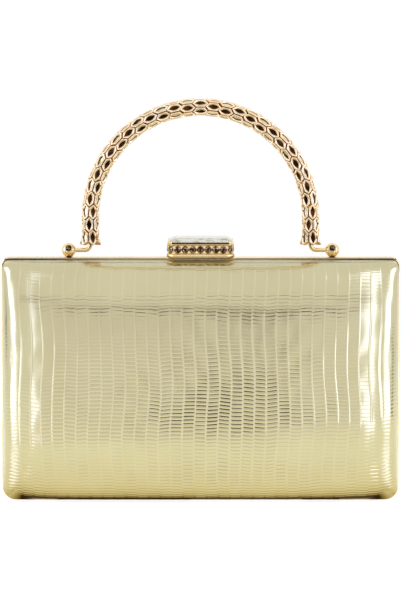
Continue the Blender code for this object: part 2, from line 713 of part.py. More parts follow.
def clasp_bracket(material):
    """The plate riveted to the rear frame, with two ears for the lever's pin."""
    near, far = PARTING + FIT, PARTING + FIT + BRACKET_DEPTH
    half = BRACKET_LENGTH / 2
    mesh, ears, rivets, bore = bmesh.new(), bmesh.new(), bmesh.new(), bmesh.new()
    block(mesh, (-half, near, BRACKET_BOTTOM), (half, far, BRACKET_TOP))
    across, forward, up = Vector((1, 0, 0)), Vector((0, 1, 0)), Vector((0, 0, 1))
    arc = [(math.cos(math.pi * step / ROD_SIDES), math.sin(math.pi * step / ROD_SIDES))
           for step in range(ROD_SIDES + 1)]
    foot = BRACKET_TOP - SINK
    for side in (-1, 1):
        rings = []
        for x in (side * EAR_PLACE, side * (EAR_PLACE + EAR_THICKNESS)):
            centre = Vector((x, LEVER_AXIS.y, LEVER_AXIS.z))
            ring = [centre + forward * (EAR_RADIUS * c) + up * (EAR_RADIUS * s) for c, s in arc]
            ring += [Vector((x, LEVER_AXIS.y - EAR_RADIUS, foot)), Vector((x, LEVER_AXIS.y + EAR_RADIUS, foot))]
            rings.append(ring)
        loft(ears, rings)
        rod(rivets, (side * RIVET_PLACE, bracket_middle(), BAG_HEIGHT - RIVET_LENGTH),
            (side * RIVET_PLACE, bracket_middle(), BRACKET_BOTTOM + SINK), RIVET_RADIUS)
    end = EAR_PLACE + EAR_THICKNESS + OVERRUN
    rod(bore, LEVER_AXIS - across * end, LEVER_AXIS + across * end, LEVER_PIN_RADIUS + FIT)
    obj = piece("clasp_bracket", mesh, material, (0, bracket_middle(), BRACKET_BOTTOM))
    combine(obj, "UNION", helper("bracket_ears", ears), helper("bracket_rivets", rivets))
    combine(obj, "DIFFERENCE", helper("bracket_pin_bore", bore))


def lever_pin(material):
    half = RIB_PLACE + RIB_THICKNESS + PIN_PAST_RIB
    mesh = bmesh.new()
    rod(mesh, (-half, LEVER_AXIS.y, LEVER_AXIS.z), (half, LEVER_AXIS.y, LEVER_AXIS.z), LEVER_PIN_RADIUS)
    piece("clasp_pivot_pin", mesh, material, LEVER_AXIS)


def lever_spring(material):
    """A torsion spring round the pin: one leg bears on the bracket's plate and the other under the lever's ceiling."""
    radius = LEVER_PIN_RADIUS + FIT + SPRING_WIRE_RADIUS
    half = SPRING_PITCH * SPRING_TURNS / 2
    count = SPRING_TURNS * SPRING_POINTS_A_TURN + SPRING_POINTS_A_TURN // 2
    points = [Vector((-half, SPRING_LEG, -radius))]
    for step in range(count + 1):
        angle = -math.pi / 2 - 2 * math.pi * step / SPRING_POINTS_A_TURN
        points.append(Vector((-half + 2 * half * step / count, radius * math.cos(angle), radius * math.sin(angle))))
    points.append(Vector((half, SPRING_LEG, radius)))
    wire("clasp_spring", points, SPRING_WIRE_RADIUS, 1, material, LEVER_AXIS, None)


def strike_span():
    """The strike plate's near and far edges, as distances in front of the parting plane."""
    middle = (PARTING + FRAME_DEPTH) / 2
    return middle - STRIKE_DEPTH / 2, middle + STRIKE_DEPTH / 2


def strike_cutter():
    near, far = strike_span()
    half = STRIKE_LENGTH / 2 + FIT
    mesh = bmesh.new()
    block(mesh, (-half, -far - FIT, BAG_HEIGHT - STRIKE_PLATE - FIT), (half, -near + FIT, BAG_HEIGHT + OVERRUN))
    return helper("strike_pocket_cutter", mesh)


def front_catch(material, pivot):
    """The strike plate let into the front frame, with the ridge that the lever's hook drops in front of."""
    near, far = strike_span()
    half = STRIKE_LENGTH / 2
    bottom, top = BAG_HEIGHT - STRIKE_PLATE, BAG_HEIGHT
    ridge = -near - STRIKE_RIDGE
    section = ((-far, bottom), (-near, bottom), (-near, top + STRIKE_RIDGE_RISE), (ridge, top + STRIKE_RIDGE_RISE),
               (ridge - STRIKE_RIDGE_RISE, top), (-far, top))
    mesh = bmesh.new()
    loft(mesh, [[(x, y, z) for y, z in section] for x in (-half, half)])
    piece("front_catch", mesh, material, (0, -(near + far) / 2, bottom), pivot)


def build():
    clear_scene()
    gold = finish("polished_gold_plate", (0.83, 0.58, 0.30), 0.18, 1.0)
    link_gold = finish("rose_gold_chain", (0.80, 0.47, 0.24), 0.14, 1.0)
    foil = finish("champagne_foil", (0.66, 0.60, 0.38), 0.24, 0.9)
    board = finish("moulded_shell", (0.30, 0.27, 0.22), 0.60, 0.0)
    satin = finish("beige_satin", (0.62, 0.53, 0.40), 0.50, 0.0)
    steel = finish("spring_steel", (0.55, 0.55, 0.56), 0.30, 1.0)
    crystal = finish("clear_crystal", (0.95, 0.95, 0.95), 0.03, 0.0, transmission=1.0)
    topaz = finish("smoky_rhinestone", (0.30, 0.18, 0.08), 0.08, 0.3)

    front_pivot = pivot_empty("front_half_pivot", HINGE_AXIS)
    handle_pivot = pivot_empty("handle_pivot", HANDLE_AXIS)
    clasp_pivot = pivot_empty("clasp_pivot", LEVER_AXIS)

    cutters = frame_cutters()
    middle = (0, 0, HALF_HEIGHT)
    halves = {}
    for half, side, pivot in (("rear", 1, None), ("front", -1, front_pivot)):
        frame = piece(f"{half}_frame", frame_ring(side), gold, middle, pivot)
        combine(frame, "DIFFERENCE", *cutters)
        shell = piece(f"{half}_shell", tray(side, FRONT_OF_WEB + FIT, SHELL_INSET, SHELL_WALL, FACE_SHARES), board,
                      middle, pivot)
        piece(f"{half}_cover", tray(side, COVER_START, LIP_STEP, COVER_WALL, FACE_SHARES), foil, middle, pivot)
        piece(f"{half}_lining", tray(side, COVER_START, LINING_INSET, LINING_WALL, LINING_SHARES), satin, middle,
              pivot)
        halves[half] = (frame, shell)

    for word, x in zip(("left", "right"), hinge_centres()):
        hinge_leaf(f"{word}_hinge_rear_leaf", x, 1, gold, None)
        hinge_leaf(f"{word}_hinge_front_leaf", x, -1, gold, front_pivot)
        hinge_pin(f"{word}_hinge_pin", x, steel)

    rear_frame, rear_shell = halves["rear"]
    stems = stem_cutter()
    combine(rear_frame, "DIFFERENCE", stems, rivet_cutter())
    combine(rear_shell, "DIFFERENCE", stems)
    combine(halves["front"][0], "DIFFERENCE", strike_cutter())
    for word, x in zip(("left", "right"), post_centres()):
        handle_post(f"{word}_handle_post", x, gold)
        post_stone(f"{word}_post_stone", x, topaz)
        post_nut(f"{word}_post_nut", x, steel)

    handle_core(gold, handle_pivot)
    for index in range(LINK_COUNT):
        handle_link(index, link_gold, handle_pivot)

    clasp_bracket(gold)
    lever_pin(steel)
    lever_spring(steel)
    clasp_lever(gold, clasp_pivot)
    clasp_crystal(crystal, clasp_pivot)
    stone_band(topaz, clasp_pivot)
    front_catch(steel, front_pivot)


build()
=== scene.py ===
"""How the clutch bag looks: embossed foil, polished metal, cut stones and satin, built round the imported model.
+Z up, front towards -Y. Pieces are shaped in millimetres, and the stage in metres."""

from math import asin, atan2, copysign, cos, pi, radians, sin, sqrt, tan

import bmesh
import bpy
import numpy as np
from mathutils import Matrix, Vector

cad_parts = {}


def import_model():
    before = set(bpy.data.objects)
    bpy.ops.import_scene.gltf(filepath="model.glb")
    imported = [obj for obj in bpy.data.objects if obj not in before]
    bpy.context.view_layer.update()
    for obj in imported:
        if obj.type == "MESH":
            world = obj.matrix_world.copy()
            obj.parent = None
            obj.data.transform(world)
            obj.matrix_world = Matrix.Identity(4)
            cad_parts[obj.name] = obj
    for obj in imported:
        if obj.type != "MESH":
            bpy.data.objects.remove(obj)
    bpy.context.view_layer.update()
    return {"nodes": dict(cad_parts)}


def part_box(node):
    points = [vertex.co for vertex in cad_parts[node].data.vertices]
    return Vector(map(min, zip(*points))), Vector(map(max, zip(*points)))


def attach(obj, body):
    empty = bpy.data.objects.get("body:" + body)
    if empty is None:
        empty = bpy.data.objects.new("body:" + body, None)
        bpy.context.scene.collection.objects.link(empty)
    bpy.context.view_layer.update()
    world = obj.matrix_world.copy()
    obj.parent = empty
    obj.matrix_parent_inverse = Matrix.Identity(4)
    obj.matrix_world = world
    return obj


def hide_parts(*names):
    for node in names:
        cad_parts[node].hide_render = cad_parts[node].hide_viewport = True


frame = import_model()
nodes = frame["nodes"]

MM = 0.001
ACROSS, FORWARD, UP = Vector((1, 0, 0)), Vector((0, 1, 0)), Vector((0, 0, 1))


def box(node):
    """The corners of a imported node's box in millimetres."""
    return [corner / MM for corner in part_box(node)]


# The pillow's outer skin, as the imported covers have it
COVER_LOW, COVER_HIGH = box("rear_cover")
HALF_WIDTH = COVER_HIGH.x
HALF_HEIGHT = (COVER_HIGH.z - COVER_LOW.z) / 2
COVER_MIDDLE = (COVER_HIGH.z + COVER_LOW.z) / 2
COVER_START = COVER_LOW.y
COVER_WALL = 0.4
SHOULDER = COVER_START + 3.0
CROWN = COVER_HIGH.y - SHOULDER
ACROSS_POWER = 6
UP_POWER = 4
COVER_TOP_CORNER = 3.5
COVER_BOTTOM_CORNER = 6.0

# Embossing of the foil: columns between raised seams, each crossed by fine grooves
COLUMN_PITCH = 5.85
RIDGE_PITCH = 1.93
SEAM_HEIGHT = 0.08
GROOVE_DEPTH = 0.08
FADE_POWER = 14

# A column's lines from one seam to the next: place, height, slope, share of the grooves, share of the seam's painted
# highlight
LINE_SHARES, LINE_HEIGHTS, LINE_SLOPES, LINE_GROOVES, LINE_SEAM_HIGHLIGHTS = np.array((
    (0, 1, 0, 0.5, 1), (0.04, 0.85, -0.32, 0.55, 0.8), (0.08, 0.15, -0.3, 0.8, 0), (0.125, 0, -0.035, 1, 0),
    (0.875, 0, 0.035, 1, 0), (0.92, 0.15, 0.3, 0.8, 0), (0.96, 0.85, 0.32, 0.55, 0.8))).T

# A ridge's rows from one groove to the next: place, height, slope
ROW_SHARES, ROW_HEIGHTS, ROW_SLOPES = np.array((
    (0.06, -0.7, 0.45), (0.2, 0, 0.05), (0.68, -0.1, -0.27), (0.94, -0.9, -0.5))).T

# Linings
LINING_INSET = 2.3
LINING_WALL = 0.5
LINING_LINES, LINING_ROWS = 121, 81
THREAD_PITCH = 0.35

# Handle: its posts' balls and stones, the core wire and the chain
BALL_RADIUS = 3.6
BORE_ROOM = 0.3
BORE_DEPTH = 5.0
COLLAR_DROP = 3.1
STEM_RADIUS = 0.8
POST_STONE_RADIUS = 1.55
STONE_TILT = radians(22)
STONE_FACING = Vector((0, -cos(STONE_TILT), sin(STONE_TILT)))
CORE_RADIUS = 1.1
CORE_LOW, CORE_HIGH = box("handle_core")
HANDLE_AXIS = Vector((0, (CORE_LOW.y + CORE_HIGH.y) / 2, CORE_LOW.z + CORE_RADIUS))
BEND_RADIUS = 3.0
ARCH_RADIUS = 55.2
ARCH_RISE = 16.5
TUBE_START = 3.4
LINK_COUNT = 31
PETAL_COUNT = 6
PETAL_CREST = 4.4
PETAL_SIDE = 2.25
PETAL_GAP = 0.13
LEG_LENGTH = ARCH_RISE - TUBE_START
TUBE_LENGTH = 2 * LEG_LENGTH + pi * ARCH_RADIUS
LINK_PITCH = TUBE_LENGTH / LINK_COUNT
LINK_ROOM = 0.3
FLARE_LENGTH = 5.5

# Clasp
CLASP_HALF_LENGTH = 17.0
CLASP_HALF_DEPTH = 9.0
CLASP_CORNER = 3.3
CLASP_ROUNDING = 0.9
CLASP_BOTTOM = 123.4
BAND_BOTTOM = 125.45
BAND_TOP = 129.65
CLASP_TOP = 130.3
WAIST_INSET = 1.8
CAVITY_INSET = 3.2
CAVITY_TOP = 128.6
GEM_INSET = 0.7
GEM_SEAT_INSET = 2.9
SEAT_FLOOR = 129.5


def linked(name, data):
    obj = bpy.data.objects.new(name, data)
    bpy.context.scene.collection.objects.link(obj)
    return obj


def mounted(mesh, body, replaced=()):
    """A piece that rides on one of the part's bodies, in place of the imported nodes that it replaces."""
    obj = linked(mesh.name, mesh)
    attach(obj, body)
    if replaced:
        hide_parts(*replaced)
    return obj


class Shape:
    """Points and faces gathered for one piece. Each face has the number of its material."""

    def __init__(self):
        self.points, self.faces, self.kinds = [], [], []

    def add(self, points, faces, kind=0):
        start = len(self.points)
        self.points += [tuple(point) for point in points]
        self.faces += [tuple(start + i for i in face) for face in faces]
        self.kinds += [kind] * len(faces)

    def rings(self, rings, kind=0, closed=False, caps=True):
        """Skins rings of one number of points, and caps the ends with flat faces."""
        count, last = len(rings[0]), len(rings) - 1
        faces = []
        for near in range(last + closed):
            far = (near + 1) % (last + 1)
            for i in range(count):
                j = (i + 1) % count
                faces.append((near * count + i, near * count + j, far * count + j, far * count + i))
        if caps and not closed:
            faces.append(tuple(reversed(range(count))))
            faces.append(tuple(last * count + i for i in range(count)))
        self.add([point for ring in rings for point in ring], faces, kind)

    def piece(self, name, body, slot, materials, replaced=(), sharp=None, weld=0.0):
        """Makes the piece, with points closer than weld joined and edges over sharp degrees kept hard."""
        mesh = bpy.data.meshes.new(name)
        mesh.from_pydata([[place * MM for place in point] for point in self.points], [], self.faces)
        for material in materials:
            mesh.materials.append(material)
        mesh.polygons.foreach_set("material_index", self.kinds)
        work = bmesh.new()
        work.from_mesh(mesh)
        if weld:
            bmesh.ops.remove_doubles(work, verts=work.verts, dist=weld * MM)
        bmesh.ops.recalc_face_normals(work, faces=work.faces)
        work.to_mesh(mesh)
        work.free()
        mesh.shade_smooth()
        if sharp is not None:
            mesh.set_sharp_from_angle(angle=radians(sharp))
        return mounted(mesh, body, replaced)


def ring(centre, first, second, radius, sides, turn=0.0):
    angles = (2 * pi * (i + turn) / sides for i in range(sides))
    return [centre + first * (radius * cos(a)) + second * (radius * sin(a)) for a in angles]


def turned(shape, centre, axis, across, profile, sides, kind=0, caps=True, closed=False):
    """A turned form: the profile's points are radius and place along the axis."""
    other = axis.cross(across)
    shape.rings([ring(centre + axis * place, across, other, radius, sides) for radius, place in profile],
                kind, closed, caps)


def lying(x, y, z):
    """Corners of a level rectangle."""
    return [(x[0], y[0], z), (x[1], y[0], z), (x[1], y[1], z), (x[0], y[1], z)]


def headings(path):
    """The direction of a path at each of its points."""
    last = len(path) - 1
    return [(path[min(i + 1, last)] - path[max(i - 1, 0)]).normalized() for i in range(last + 1)]


# Materials

BLACK, WHITE = (0, 0, 0), (1, 1, 1)
METALLIC = {"Metallic": 1}


def new_material(name):
    material = bpy.data.materials.new(name)
    material.use_nodes = True
    return material, material.node_tree.nodes["Principled BSDF"]


def fill(node, inputs):
    """Gives a node's inputs their values, or their links where sockets are given."""
    for name, value in inputs.items():
        if isinstance(value, bpy.types.NodeSocket):
            node.id_data.links.new(value, node.inputs[name])
        else:
            node.inputs[name].default_value = value


def add_node(owner, kind, inputs, output, **settings):
    """Adds a shader node to the tree that the owner is in, and gives one of its outputs."""
    node = owner.id_data.nodes.new(f"ShaderNode{kind}")
    for name, value in settings.items():
        setattr(node, name, value)
    fill(node, inputs)
    return node.outputs[output]


def own_space(owner):
    return add_node(owner, "TexCoord", {}, "Object")


def places(owner):
    """A point's x, y and z in the object's own space."""
    return tuple(add_node(owner, "SeparateXYZ", {"Vector": own_space(owner)}, "X").node.outputs)


def noise(owner, size, detail, stretch=(1, 1, 1)):
    """Noise in the object's own space. size is the width of its blobs in millimetres."""
    stretched = add_node(owner, "Mapping", {"Vector": own_space(owner), "Scale": stretch}, "Vector")
    return add_node(owner, "TexNoise", {"Vector": stretched, "Scale": 1 / (size * MM), "Detail": detail}, "Fac")


def between(source, low, high, start=0.3, end=0.7):
    """Carries the range from start to end over to the one from low to high."""
    return add_node(source, "MapRange", {"Value": source, "From Min": start, "From Max": end, "To Min": low,
                                         "To Max": high}, "Result")


def arithmetic(operation, *terms):
    return add_node(terms[0], "Math", dict(enumerate(terms)), "Value", operation=operation)


def tint(source, *stops):
    """A colour ramp. Each stop is a place and a colour."""
    colour = add_node(source, "ValToRGB", {"Fac": source}, "Color")
    elements = colour.node.color_ramp.elements
    while len(elements) < len(stops):
        elements.new(0.5)
    for element, (place, shade) in zip(elements, stops):
        element.position = place
        element.color = (*shade, 1)
    return colour


def bump(source, height):
    """Relief of a height in millimetres."""
    return add_node(source, "Bump", {"Height": source, "Distance": height * MM, "Strength": 1}, "Normal")


def surface(name, patches, stops, smudges, gloss, grain=None, relief=0.0, values=None):
    """A material whose colour, gloss and relief follow noise. patches, smudges and grain are each a noise's size,
    detail and stretch. stops are its colours, gloss its range of roughness, and relief a height in millimetres."""
    material, shader = new_material(name)
    fill(shader, {"Base Color": tint(noise(shader, *patches), *stops),
                  "Roughness": between(noise(shader, *smudges), *gloss), **(values or {})})
    if grain:
        fill(shader, {"Normal": bump(noise(shader, *grain), relief)})
    return material


def overlay(material, share, colour):
    """Lays a colour over the material's own where share is 1."""
    tree = material.node_tree
    base = tree.nodes["Principled BSDF"].inputs["Base Color"]
    inputs = {"Factor": share, "A": base.links[0].from_socket, "B": colour}
    tree.links.new(add_node(tree, "Mix", inputs, "Result", data_type="RGBA"), base)


def metal(name, light, deep, roughness, patch, grain=0.4, relief=0.002):
    """Plated metal: its colour and gloss drift over patches, and a fine grain breaks its reflections."""
    return surface(name, (patch, 3), ((0.35, deep), (0.65, light)), (patch * 0.4, 4),
                   (roughness * 0.7, roughness * 1.4), (grain, 2), relief, METALLIC)


def polished_gold(name):
    return metal(name, (0.94, 0.77, 0.47), (0.86, 0.65, 0.34), 0.13, 12, relief=0.0015)


def frame_material(half):
    """The frame's gold, with a painted shade line where the cover meets its top edge: a dark band just under the top,
    darker towards the frame's ends.
    """
    material = polished_gold(f"{half}_frame_gold_painted_shade")
    tree = material.node_tree
    x, _, z = places(tree)
    top = (nodes[f"{half}_frame"].matrix_world.inverted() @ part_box(f"{half}_frame")[1]).z
    # Painted shade: a dark brown that deepens towards the frame's ends, laid in a thin band just below the top edge
    dark = tint(between(arithmetic("ABSOLUTE", x), 0, 1, 0.04, 0.08), (0, (0.66, 0.52, 0.3)), (1, (0.09, 0.065, 0.03)))
    line = tint(between(z, 0, 1, top - 1.6 * MM, top), (0.3, BLACK), (0.38, WHITE), (0.62, WHITE), (0.7, BLACK))
    overlay(material, line, dark)
    return material


def foil_material():
    """Champagne foil. Along its seams and its rolled top edge it is rougher, and painted paler there as a painted
    highlight.
    """
    material = surface("embossed_champagne_foil", (28, 3), ((0.3, (0.595, 0.545, 0.335)), (0.7, (0.625, 0.58, 0.365))),
                       (6, 4), (0.13, 0.2), (0.7, 3, (1, 1, 1.6)), 0.006, METALLIC)
    tree = material.node_tree
    seam = add_node(tree, "Attribute", {}, "Fac", attribute_name="seam")
    # Painted highlight: a paler colour along the seams and the rolled top edge
    overlay(material, seam, (0.72, 0.67, 0.455, 1))
    roughness = tree.nodes["Principled BSDF"].inputs["Roughness"]
    tree.links.new(arithmetic("MULTIPLY_ADD", seam, 0.14, roughness.links[0].from_socket), roughness)
    return material


def painted_reflection_floor_material():
    """Painted reflection on the middles of the chain's cells: a dark brown where they face the viewer, turning into
    the pale gold of their surroundings seen from the side.
    """
    material = surface("cell_floor_painted_reflection", (2.5, 3), ((0.35, (0.012, 0.007, 0.003)), (0.5, (0.03, 0.015, 0.006)),
                                                       (0.68, (0.1, 0.045, 0.02))),
                       (1.5, 3), (0.2, 0.4), (0.6, 2), 0.006, METALLIC)
    tree = material.node_tree
    # Painted reflection: dark where a cell faces the viewer, pale gold at a slant
    facing = add_node(tree, "LayerWeight", {"Blend": 0.5}, "Facing")
    overlay(material, between(facing, 0, 1, 0.14, 0.25), (0.88, 0.7, 0.45, 1))
    return material


def satin_material():
    """Satin, woven of two sets of threads."""
    material, shader = new_material("lining_satin")
    waves = {"Vector": own_space(shader), "Scale": 0.16 / (THREAD_PITCH * MM), "Distortion": 0.6}
    threads = [add_node(shader, "TexWave", waves, "Fac", bands_direction=direction) for direction in ("X", "Z")]
    fill(shader, {
        "Roughness": 0.48, "Sheen Weight": 0.35, "Sheen Roughness": 0.4, "Anisotropic": 0.4,
        "Base Color": tint(noise(shader, 30, 2), (0.3, (0.5, 0.415, 0.305)), (0.7, (0.55, 0.46, 0.345))),
        "Normal": bump(arithmetic("MULTIPLY", *threads), 0.03)})
    return material


def smoky_stone(name, dark, middle, pale):
    """A foiled brown stone: dark in its body, with paler facets."""
    return surface(name, (0.8, 1), ((0.4, dark), (0.52, middle), (0.66, pale)), (0.9, 1), (0.03, 0.12),
                   values=METALLIC)


gold = polished_gold("polished_gold")
# The chain's rims: its gold, painted near white as a highlight; the walls and sleeves keep the chain's own rose gold
rim_gold_painted_highlight = metal("chain_rim_gold", (0.99, 0.92, 0.74), (0.94, 0.79, 0.54), 0.15, 4)
link_gold = metal("rose_chain_gold", (0.94, 0.73, 0.43), (0.76, 0.5, 0.27), 0.18, 3)
# The posts' collars and stems: gold, painted dark brown as shade at each ball's foot
collar_painted_shade_gold = metal("collar_painted_shade_gold", (0.34, 0.15, 0.045), (0.24, 0.09, 0.02), 0.22, 3)
# Near-black gold for the rim under the crystal: painted shade
stone_rim_shade = metal("painted_shade_stone_rim", (0.1, 0.055, 0.02), (0.05, 0.025, 0.01), 0.3, 4, relief=0.003)
painted_reflection_floor = painted_reflection_floor_material()
steel = metal("brushed_steel", (0.58, 0.58, 0.58), (0.47, 0.47, 0.49), 0.3, 5, 0.25, 0.003)
foil = foil_material()
satin = satin_material()
moulded = surface("moulded_board", (9, 3), ((0.3, (0.26, 0.235, 0.19)), (0.7, (0.33, 0.3, 0.25))), (3, 3), (0.5, 0.7),
                  (0.5, 3), 0.03)

# A foiled crystal: mostly white, with greenish and warm glints that shift over its facets
crystal = surface("cut_crystal", (4.5, 2, (1, 2.2, 2.5)),
                  ((0.34, (0.6, 0.57, 0.36)), (0.42, (0.78, 0.75, 0.58)), (0.5, (0.88, 0.86, 0.79)),
                   (0.6, (0.95, 0.94, 0.91)), (0.7, (0.78, 0.78, 0.75))),
                  (2, 2), (0.01, 0.06), values={"Metallic": 0.55, "Transmission Weight": 0.6, "IOR": 1.55})
silver_foil = metal("silver_stone_foil", (0.93, 0.93, 0.9), (0.8, 0.82, 0.78), 0.22, 3, 0.5, 0.004)
stone = smoky_stone("smoky_stone", (0.035, 0.018, 0.008), (0.17, 0.1, 0.05), (0.58, 0.46, 0.34))
dark_stone = smoky_stone("dark_smoky_stone", (0.006, 0.004, 0.002), (0.035, 0.022, 0.012), (0.3, 0.24, 0.16))


# Foil covers

SECTIONS = (HALF_WIDTH, ACROSS_POWER), (HALF_HEIGHT, UP_POWER)


def arc_table(half, power):
    """The pillow's middle section from its crown to its edge: length along it, and share of the half size."""
    share = 1 - (1 - np.linspace(0, 1, 3000)) ** 3
    depth = CROWN * np.sqrt(np.maximum(1 - share ** power, 0))
    steps = np.hypot(np.diff(share * half), np.diff(depth))
    return np.concatenate(([0], np.cumsum(steps))), share


def rounded_corner(x, z):
    """Carries points of a sharp rectangle round its middle into the rounded one."""
    radius = np.where(z > 0, COVER_TOP_CORNER, COVER_BOTTOM_CORNER)
    middle_x, middle_z = HALF_WIDTH - radius, HALF_HEIGHT - radius
    out_x, out_z = (np.abs(x) - middle_x) / radius, (np.abs(z) - middle_z) / radius
    reach = np.maximum(out_x, out_z)
    ratio = np.minimum(out_x, out_z) / np.maximum(reach, 1e-9)
    turn = pi / 4 * np.where(out_x >= out_z, ratio, 2 - ratio)
    in_corner = (out_x > 0) & (out_z > 0)
    return (np.where(in_corner, np.copysign(middle_x + radius * reach * np.cos(turn), x), x),
            np.where(in_corner, np.copysign(middle_z + radius * reach * np.sin(turn), z), z))


def rise(value, middle, width):
    """A smooth step from 0 to 1."""
    return 1 / (1 + np.exp((middle - value) / width))


def bell(value, middle, width):
    """1 at the middle, and less to both sides of it."""
    return np.exp(-((value - middle) / width) ** 2)


def below_boundary(x, z):
    """The foil's lower part has no seams, from a slanting boundary down."""
    return rise(-z, 24 - 0.069 * x + 2.5 * bell(x, 10, 30), 0.9)


def emboss_strength(x, z):
    """How deep the grooves are pressed: deepest right of the middle and along the bottom edge, shallow at the sides
    and high up, apart from a patch of dashes at the top."""
    deep = 0.6 + 0.16 * bell(x, 16, 34) + 0.46 * bell(x, 11, 46) * bell(z, -14, 15)
    dashes = 0.8 * bell(x, 38, 9) * bell(z, 40, 2.5)
    rim = 0.3 * rise(np.abs(x), 80, 4)
    left = 0.18 * rise(-x, 30, 10) * rise(z, 0, 8)
    high = 0.4 * rise(z, 17, 5)
    top = (0.36 - 0.12 * rise(x, 20, 8)) * rise(z, 26, 2.5)
    low = 0.62 * below_boundary(x, z)
    bottom_edge = 5 * rise(-z, 40.5, 3.2)
    return (deep + dashes) * (1 - rim) * (1 - left) * (1 - high) * (1 - top) * (1 - low) * (1 + bottom_edge)


def seam_strength(x, z):
    """How sharp the seams are: sharpest on the right, faint high up and all but gone low down."""
    return ((0.64 + 0.3 * rise(x, 15, 12)) * (1 - 0.66 * rise(z, 26, 5)) * (1 - 0.35 * rise(x, 84, 3))
            * (1 - 0.9 * below_boundary(x, z)))


def gentle_height(x, z):
    """The foil isn't quite flat between its grooves."""
    return 0.035 * (np.sin(z / 2.6 + 3 * np.sin(x / 5)) + np.sin(x / 2.3 + 2 * np.sin(z / 6)))


def embossing(seed, handed):
    """The foil's grid: lengths across and up along the pillow from its middle, height of the relief, its slopes across
    and up, and how much of the painted highlight on the seams and the rolled top edge each point takes."""
    across_length, up_length = (arc_table(*section)[0][-1] for section in SECTIONS)
    columns = round(2 * across_length / COLUMN_PITCH)
    ridges = round(2 * up_length / RIDGE_PITCH)
    random = np.random.default_rng(seed)
    line = np.arange(columns * len(LINE_SHARES) + 1)
    row = np.arange(ridges * len(ROW_SHARES))
    column, kind = line // len(LINE_SHARES), line % len(LINE_SHARES)
    row_kind = row % len(ROW_SHARES)
    across_share = (column + LINE_SHARES[kind]) / columns
    up_share = np.concatenate(([0], (row // len(ROW_SHARES) + ROW_SHARES[row_kind]) / ridges, [1]))
    row_kind = np.concatenate(([0], row_kind, [0]))
    edge_row = np.ones(len(row_kind))
    edge_row[[0, -1]] = 0
    across, up = np.meshgrid((2 * across_share - 1) * across_length, (2 * up_share - 1) * up_length)
    fade_across, fade_up = (1 - np.abs(2 * share - 1) ** FADE_POWER for share in (across_share, up_share))
    fade = fade_across[None, :] * (fade_up * edge_row)[:, None]

    # Seams sway together, and each a little by itself
    sway = 0.7 * np.sin(up / 11 + across / 50 + 1.76) + 0.22 * np.sin(up / 6.5 - across / 23 + 1)
    seam_phase = random.uniform(0, 2 * pi, columns + 1)
    low = column.clip(0, columns - 1)
    part = line / len(LINE_SHARES) - low
    own = (1 - part) * np.sin(up / 9 + seam_phase[low]) + part * np.sin(up / 9 + seam_phase[low + 1])
    across = across + (sway + 0.16 * own) * fade

    # Each column's ridges have their own offset, tilt and bow
    place = LINE_SHARES[kind] * 2 - 1
    offset, tilt, bow = (random.uniform(-spread, spread, columns + 1) for spread in (0.5, 0.2, 0.1))
    shift = offset[column] + tilt[column] * place + bow[column] * place ** 2
    on_seam = kind == 0
    shift[on_seam] = (np.roll(shift, 1) + np.roll(shift, -1))[on_seam] / 2
    ridged = LINE_GROOVES[kind]
    phase = offset[column] * pi
    up = up + RIDGE_PITCH * (shift + 0.35 * np.sin(up / 11 + 2.4 * phase) * ridged) * fade

    # Heights and slopes of the seams, the grooves and the foil's own unevenness
    strength = emboss_strength(across * handed, up) * (0.88 + 0.12 * np.sin(up / 5 + 2 * phase))
    groove = ridged * strength * fade
    height = SEAM_HEIGHT * LINE_HEIGHTS[kind] * fade + GROOVE_DEPTH * ROW_HEIGHTS[row_kind][:, None] * groove
    height += gentle_height(across, up) * fade
    step = 0.1
    gentle_across = gentle_height(across + step, up) - gentle_height(across - step, up)
    gentle_up = gentle_height(across, up + step) - gentle_height(across, up - step)
    faint = seam_strength(across * handed, up)
    slope_across = LINE_SLOPES[kind] * fade * faint + gentle_across / (2 * step) * fade
    slope_up = ROW_SLOPES[row_kind][:, None] * groove + gentle_up / (2 * step) * fade
    # The rolled top edge takes the seams' painted highlight, and their rougher finish
    rolled_edge_highlight = 2.5 * rise(up, up_length - 3.4, 0.5)
    seam_highlight_share = np.maximum(LINE_SEAM_HIGHLIGHTS[kind] * fade * faint, rolled_edge_highlight)
    return across, up, height, slope_across, slope_up, seam_highlight_share


def pillow(across, up, side):
    """Points of the smooth pillow at lengths across and up from its middle."""
    shares = [np.copysign(np.interp(np.abs(length), *arc_table(*section)), length)
              for length, section in zip((across, up), SECTIONS)]
    depth = SHOULDER + CROWN * pillow_swell(*shares)
    x, z = rounded_corner(shares[0] * HALF_WIDTH, shares[1] * HALF_HEIGHT)
    return np.stack((x, side * depth, z + COVER_MIDDLE), axis=-1)


def pillow_swell(across, up):
    """How far the pillow swells at shares of its half sizes: 1 in the middle and 0 along the edge."""
    return np.sqrt(np.maximum((1 - np.abs(across) ** ACROSS_POWER) * (1 - np.abs(up) ** UP_POWER), 0))


def unit(vectors):
    return vectors / np.maximum(np.linalg.norm(vectors, axis=-1, keepdims=True), 1e-12)


def grid_faces(rows, lines):
    """The faces of a grid of points, and the loop of points along its edge."""
    index = np.arange(rows * lines).reshape(rows, lines)
    faces = np.stack((index[:-1, :-1], index[:-1, 1:], index[1:, 1:], index[1:, :-1]), axis=-1).reshape(-1, 4)
    return faces, np.concatenate((index[0, :], index[1:, -1], index[-1, -2::-1], index[-2:0:-1, 0]))


def bands(loops):
    """The faces between each loop and the next."""
    return [np.stack((np.roll(near, -1), near, far, np.roll(far, -1)), axis=-1) for near, far in zip(loops, loops[1:])]


